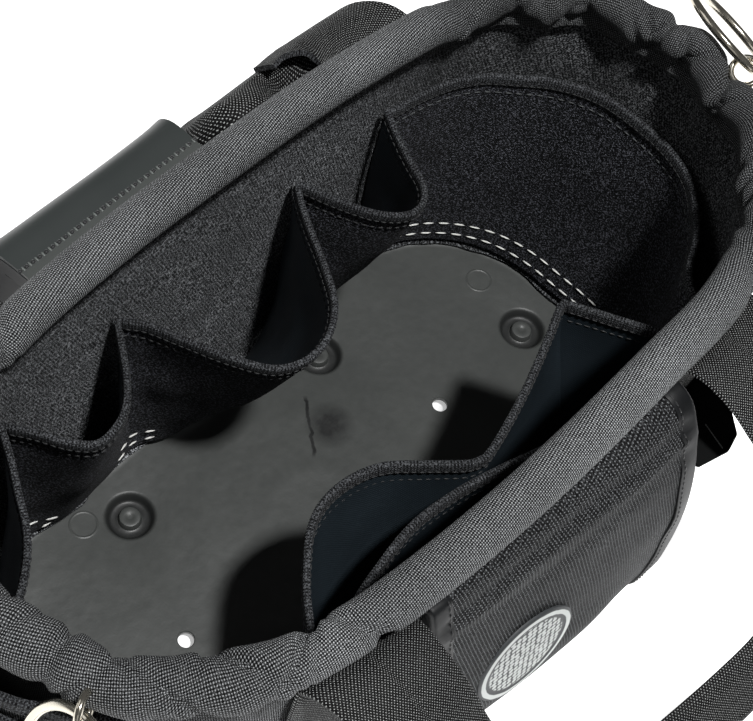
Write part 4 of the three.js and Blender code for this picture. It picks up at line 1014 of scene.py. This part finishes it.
# near outer pocket and a lower one sewn on the front of it, each with a taped top edge
nearEnd = dict(seat=1.4, tapeDepth=7.0, top=(180, 1), lowerTop=(168, 1),
               # place along the rim and distance from the wall, then height and share of that distance
               table=[(74, 1.4), (56, 9), (36, 14), (14, 15), (-8, 12), (-28, 7), (-44, 1.4)],
               rise=[(42, 0.3), (60, 0.62), (80, 0.8), (105, 0.94), (130, 1), (155, 1)])


def buildNear(name, tapeName, top, lift, thick, flat, restsOn, *nodes):
    line = smoothLine(nearEnd["table"], 6)
    bulge = np.maximum(line[:, 1] - nearEnd["seat"], 0)
    grid = np.array([offWall(nearMiddle - line[:, 0], z, -(nearEnd["seat"] + bulge * share + lift))
                     for z, share in smoothLine(nearEnd["rise"] + [top], 4)])
    stock = newStock()
    addSheet(stock, grid, thick, (0, 1, 0))
    pouch = makePiece(name, stock, [shellNylon, coatedBack])
    finishPiece(pouch, "shell_cloth", *nodes)
    stock = newStock()
    normal, down, face = bindEdge(stock, grid[-1], grid[-2], thick, nearEnd["tapeDepth"])
    finishPiece(makePiece(tapeName, stock, [ribTape], sharp=70), "binding_tape")
    print(name, "made, edge", round(lengthsOf(grid[-1])[-1]), "height", round(lengthsOf(grid[:, 10])[-1]))
    sewn = down * (nearEnd["tapeDepth"] - 1.4)
    return [grid[-1] + normal * sign * (face + 0.15) + sewn for sign in (1, -1)]


tapeStitches += buildNear("nearPouch", "nearPouchTape", nearEnd["top"], -0.01, 1.8, (0.118, 0.142),
                          "wallCloth", "near_outer_pocket")
buildNear("nearLowerPouch", "nearLowerTape", nearEnd["lowerTop"], 3.6, 1.6, (0.122, 0.13), "nearPouch")

# webbing loops: flat legs sewn to the wall, one half turned over the other to make the grip
frontLeg = dict(corner=62, reach=131, foldFrom=5.5, foldTo=9.5)
webbing = dict(
    width=50, thick=2.6,
    front=dict(side=-1, turns=((-100, 50),), spread=(-105, 40, -0.12), path=[], falls=(
        [(0, 4, 182), (10, 10.5, 188.5), (24, 22, 186.5), (40, 33, 177), (65, 45, 155), (90, 60, 135),
         (165, 113, 82)],
        [(0, 4, 182), (10, 10.5, 188.5), (24, 24, 188), (40, 38, 181), (65, 57, 166), (90, 75, 148),
         (165, 124, 92)])),
    # rows of path: place along X, distance along the loop, share folded
    back=dict(side=1, turns=((-100, -70), (5, 30)), path=[
        (-125, -68, 0), (-125, -20, 0), (-125, 0, 0), (-125, 4, 0), (-125, 8, 0), (-125, 30, 0), (-124, 48, 0),
        (-118, 66, 0.1), (-106, 80, 0.25), (-90, 87, 0.5), (-72, 88, 0.8), (-50, 84, 1), (-25, 74, 1),
        (-4, 58, 0.6), (12, 44, 0.1), (26, 36, 0), (40, 33, 0), (56, 33.5, 0), (70, 34.5, 0), (82, 33, 0),
        (92, 28, 0), (100, 20, 0), (105, 10, 0), (107, 0, 0), (107, -20, 0), (107, -68, 0)], falls=(
        [(0, 4, 182), (10, 10.5, 188.5), (24, 21, 187), (38, 33, 178), (52, 48, 152), (66, 53, 134),
         (80, 55.5, 120), (100, 59, 100), (150, 66, 58)],
        [(0, 51, 149), (10, 52.5, 144), (35, 54.5, 128), (60, 57, 107), (90, 59, 84), (150, 64, 40)],
        [(0, 4, 182), (10, 10.5, 189.5), (22, 20, 192.5), (33, 29, 186.5), (42, 33.5, 177.5), (52, 39, 168.5),
         (64.5, 46, 158.5), (76, 52.5, 149.5), (95, 64, 135)]),
        # half of the strap turned back over the right leg, open at its left end: place along X, edges, lift
        flap=[(57.5, 1, -12.5, 6), (62, 4, -12.5, 7), (68, 10, -12.5, 6.5), (74, 18, -13, 5.5),
              (79, 21, -14.5, 4.5), (84, 22, -19, 3.4), (90, 22.5, -22, 3), (98, 22.5, -23, 2.9),
              (104, 22.5, -23.5, 2.9), (106.5, 22.5, -24, 2.9)],
        sag=(68, 14, 62), spread=(27, 15, 0.35)))
for x, towards in ((-103, 1), (103, -1)):
    turnAt = frontLeg["reach"] - frontLeg["corner"]
    leg = [(x, d) for d in (-68, -20, 0, 4, 8, 8 + (turnAt - 8) * 0.4, 8 + (turnAt - 8) * 0.75)]
    leg += [(x + towards * frontLeg["corner"] * (1 - math.cos(a)), turnAt + frontLeg["corner"] * math.sin(a))
            for a in np.linspace(0, math.pi / 2, 6)]
    folded = smoothStep(range(len(leg)), frontLeg["foldFrom"], frontLeg["foldTo"])
    leg = [(x, d, float(share)) for (x, d), share in zip(leg, folded)]
    if towards == 1:
        webbing["front"]["path"] += leg + [(u, frontLeg["reach"], 1) for u in (-20, 0, 20)]
    else:
        webbing["front"]["path"] += leg[::-1]


def loopGrid(loop):
    path = smoothLine(loop["path"], 6)
    tangent = np.gradient(path[:, :2], axis=0)
    tangent /= np.linalg.norm(tangent, axis=1, keepdims=True)
    fold = np.clip(path[:, 2], 0, 1)
    falls = [smoothLine(rows, 8) for rows in loop["falls"]]
    side = loop["side"]

    def place(x, d):
        s = alongAtX(x, side)
        sewn = offWall(s, np.where(d < 0, 182 + d, 182), -3.8)
        edge = wallPoint(s, 186)[:, 1] * side
        out, z = [np.interp(d, falls[0][:, 0], falls[0][:, k]) for k in (1, 2)]
        for fall, (low, high) in zip(falls[1:], loop["turns"]):
            share = smoothStep(x, low, high)
            out = out + (np.interp(d, fall[:, 0], fall[:, 1]) - out) * share
            z = z + (np.interp(d, fall[:, 0], fall[:, 2]) - z) * share
        out = edge + (92 - edge) * smoothStep(d, 0, 45) + out
        return np.where((d < 0)[:, None], sewn, np.stack([x, side * out, z], -1))

    def aside(off, pick=slice(None)):  # points beside the path
        return place(path[pick, 0] - tangent[pick, 1] * off, path[pick, 1] + tangent[pick, 0] * off)

    half = webbing["width"] / 2
    turnOver = fold * math.pi * 0.985
    rows = [-1, -0.97, -0.9, -0.7, -0.45, -0.22, -0.08, 0, 0.08, 0.3, 0.6, 0.85, 0.97, 1]
    grid, lift = [], []
    for a in rows:
        at, width, share = loop["spread"]  # slack under the back tube, curl before the front grip
        wide = 1 + share * np.exp(-((path[:, 0] - at) / width) ** 2) * smoothStep(path[:, 1], 0, 25)
        off = half * (a * np.minimum(wide, 1) if a > 0 else a * wide * np.cos(turnOver)) - half / 2 * fold
        grid.append(aside(off))
        lift.append(max(-a, 0) * half * np.sin(turnOver) * (1 if side < 0 else 0.3)
                    + (webbing["thick"] + 0.5) * (1 - np.cos(turnOver)) / 2 * smoothStep(-a, 0, 0.12))
    grid = np.array(grid)
    middle = np.array([aside(off) for off in (-4, 0, 4)])
    up = np.cross(np.gradient(middle, axis=1)[1], middle[2] - middle[0])
    up /= np.linalg.norm(up, axis=1, keepdims=True)
    up *= np.where(up[:, 2:] + up[:, 1:2] * side * 0.5 < 0, -1, 1)
    grid = grid + up[None] * np.array(lift)[:, :, None]
    for _ in range(2):  # ease the bend where the leg leaves the wall
        grid[:, 1:-1] = grid[:, 1:-1] * 0.5 + (grid[:, :-2] + grid[:, 2:]) * 0.25
    flap = []
    if "flap" in loop:
        at, width, drop = loop["sag"]  # inner half sinks where the flap stands open
        sunk = np.exp(-((path[:, 0] - at) / width) ** 2)
        grid[:, :, 2] -= drop * np.maximum(-np.array(rows), 0)[:, None] * sunk
        table = smoothLine(loop["flap"], 4)
        keep = np.where((path[:, 0] > table[0, 0]) & (path[:, 0] < table[-1, 0]) & (path[:, 1] > 2))[0]
        start, edge, rise = [np.interp(path[keep, 0], table[:, 0], table[:, k]) for k in (1, 2, 3)]
        for share in np.linspace(0, 1, 8):
            lift = 2.9 + (rise - 2.9) * share ** 2
            flap.append(aside(start + (edge - start) * share, keep) + up[keep] * lift[:, None])
    return grid, fold, np.array(flap)


edgeShare = np.array([0.35, 0.8, 1, 1, 1, 1, 1, 1, 1, 1, 1, 1, 0.8, 0.35])
handleStitches = []
for key, node in (("front", "handle_front"), ("back", "handle_back")):
    grid, fold, flap = loopGrid(webbing[key])
    thick = np.repeat(edgeShare[:, None] * webbing["thick"], grid.shape[1], 1)
    stock = newStock()
    addSheet(stock, grid, thick)
    if len(flap):
        addSheet(stock, flap, webbing["thick"], (0, 0, 1))
    strap = makePiece(key + "Strap", stock, [heavyWebbing, ribTape], sharp=65)
    finishPiece(strap, "webbing", node)
    length = lengthsOf(grid[9])[-1] / 1000
    gripped = np.where(fold > 0.97)[0]
    for sign in (1, -1):
        handleStitches.append((grid[2] + facing(grid)[2] * (thick[2] / 2 + 0.15)[:, None] * sign)[gripped])
    print(key, "strap made, length", round(length * 1000))

# stiff tab beside the front pouch
tab = dict(low=148, thick=2.2,
           outline=[(71.5, -96), (106, -96), (108, -114), (96, -127.5), (87, -129.5), (71.5, -125)])
form = bmesh.new()
base = [form.verts.new(toFrame((x, y, tab["low"]))) for x, y in tab["outline"]]
bottom = form.faces.new(base)
lifted = bmesh.ops.extrude_face_region(form, geom=[bottom])
bmesh.ops.translate(form, verts=[v for v in lifted["geom"] if isinstance(v, bmesh.types.BMVert)],
                    vec=(0, 0, tab["thick"] / 1000))
upright = [e for e in form.edges if abs(e.verts[0].co.z - e.verts[1].co.z) > 1e-4]
bmesh.ops.bevel(form, geom=upright, offset=0.0008, segments=3, affect="EDGES", profile=0.5)
rims = [e for e in form.edges if e.calc_face_angle(0) > 0.9]
bmesh.ops.bevel(form, geom=rims, offset=0.0006, segments=3, affect="EDGES", profile=0.5)
bmesh.ops.recalc_face_normals(form, faces=form.faces)
mesh = bpy.data.meshes.new("sideTab")
form.to_mesh(mesh)
form.free()
mesh.materials.append(stiffBoard)
finishPiece(placeMesh("sideTab", mesh, 40), "coated_cloth", "side_tab")
print("tab made")


stitchSizes = ("Pitch", "Stitch length", "Thread width", "Thread height")


# stitch rows: each line of points is stepped off and gets one short thread per step
def stitchTree():
    tree = bpy.data.node_groups.new("stitchRow", "GeometryNodeTree")
    face = tree.interface
    face.new_socket("Lines", in_out="INPUT", socket_type="NodeSocketGeometry")
    for name in stitchSizes:
        face.new_socket(name, in_out="INPUT", socket_type="NodeSocketFloat")
    face.new_socket("Thread", in_out="INPUT", socket_type="NodeSocketMaterial")
    face.new_socket("Stitches", in_out="OUTPUT", socket_type="NodeSocketGeometry")
    given = addNode(tree, "NodeGroupInput")
    curve = addNode(tree, "GeometryNodeMeshToCurve", {"Mesh": given.outputs["Lines"]})
    steps = addNode(tree, "GeometryNodeResampleCurve",
                    {"Curve": curve.outputs[0], "Length": given.outputs["Pitch"]}, mode="LENGTH")
    tangent = addNode(tree, "GeometryNodeInputTangent")
    turned = addNode(tree, "FunctionNodeAlignRotationToVector", {"Vector": tangent.outputs[0]}, axis="X")
    bead = addNode(tree, "GeometryNodeMeshUVSphere", {"Segments": 6, "Rings": 5, "Radius": 0.5})
    size = addNode(tree, "ShaderNodeCombineXYZ", {i: given.outputs[stitchSizes[i + 1]] for i in range(3)})
    placed = addNode(tree, "GeometryNodeInstanceOnPoints",
                     {"Points": steps.outputs[0], "Instance": bead.outputs[0], "Rotation": turned.outputs[0],
                      "Scale": size.outputs[0]})
    real = addNode(tree, "GeometryNodeRealizeInstances", {"Geometry": placed.outputs[0]})
    dressed = addNode(tree, "GeometryNodeSetMaterial",
                      {"Geometry": real.outputs[0], "Material": given.outputs["Thread"]})
    addNode(tree, "NodeGroupOutput", {"Stitches": dressed.outputs[0]})
    return tree


stitchRow = stitchTree()


def sewRows(name, lines, sizes, thread, slotName):
    points, edges = [], []
    for line in lines:
        first = len(points)
        points += toFrame(line).tolist()
        edges += [(first + i, first + i + 1) for i in range(len(line) - 1)]
    mesh = bpy.data.meshes.new(name)
    mesh.from_pydata(points, edges, [])
    rows = bpy.data.objects.new(name + "Lines", mesh)
    scene.collection.objects.link(rows)
    step = rows.modifiers.new("stitches", "NODES")
    step.node_group = stitchRow
    ids = {item.name: item.identifier for item in stitchRow.interface.items_tree if item.in_out == "INPUT"}
    for label, value in zip(stitchSizes, sizes):
        step[ids[label]] = value / 1000
    step[ids["Thread"]] = threads[thread]
    bpy.context.view_layer.update()
    done = bpy.data.meshes.new_from_object(rows.evaluated_get(bpy.context.evaluated_depsgraph_get()))
    done.name = name
    bpy.data.objects.remove(rows)
    finishPiece(placeMesh(name, done), slotName)
    print(name, "made:", len(done.polygons), "faces")


for z in hem["stitchHeights"]:  # bare wall round the near end
    bare = np.arange(alongAtX(-170, 1)[0] + 40, alongAtX(-112, -1)[0], 2.6)
    hemLines.append(offWall(bare, z, stitchLift))
vinylOut = facing(vinylGrid)
vinylOut *= np.sign(vinylOut[20, 14, 1])
seamRow = outer["vinyl"]["seamRow"]
vinylSeam = vinylGrid[seamRow] + vinylOut[seamRow] * 1.05
run = lengthsOf(vinylSeam)
spots = np.arange(1.7, run[-1], 1.0)  # half a stitch on from the seam's own stitches
between = np.column_stack([np.interp(spots, run, vinylSeam[:, k]) for k in range(3)])
tabSeam = np.column_stack([np.linspace((89.3, -115.5), (85.7, -126.5), 12),
                           np.full(12, tab["low"] + tab["thick"] + 0.1)])
# pitch, stitch length, thread width and height in mm
for name, lines, sizes, thread, slotName in (
        ("hemStitches", hemLines, (8.2, 6.4, 1.15, 0.9), "whiteThread", "lining_cloth"),
        ("tapeStitches", tapeStitches + frontBandLines, (3.4, 2.6, 0.7, 0.6), "blackThread", "binding_tape"),
        ("panelStitches", panelStitches + handleStitches, (3.8, 2.9, 0.75, 0.6), "blackThread", "lining_cloth"),
        ("endStitches", endStitches, (5.0, 3.6, 0.8, 0.6), "dimThread", "lining_cloth"),
        ("vinylSeam", [vinylSeam], (3.4, 2.4, 2.0, 1.3), "blackThread", "coated_cloth"),
        ("vinylPuckers", [between], (3.4, 1.1, 2.8, 0.8), "puckerHighlight", "coated_cloth"),
        ("bandStitches", bandStitches, (3.6, 2.6, 0.7, 0.6), "blackThread", "shell_cloth"),
        ("tabSeam", [tabSeam], (1.0, 1.2, 0.6, 0.4), "greyThread", "coated_cloth")):
    sewRows(name, lines, sizes, thread, slotName)
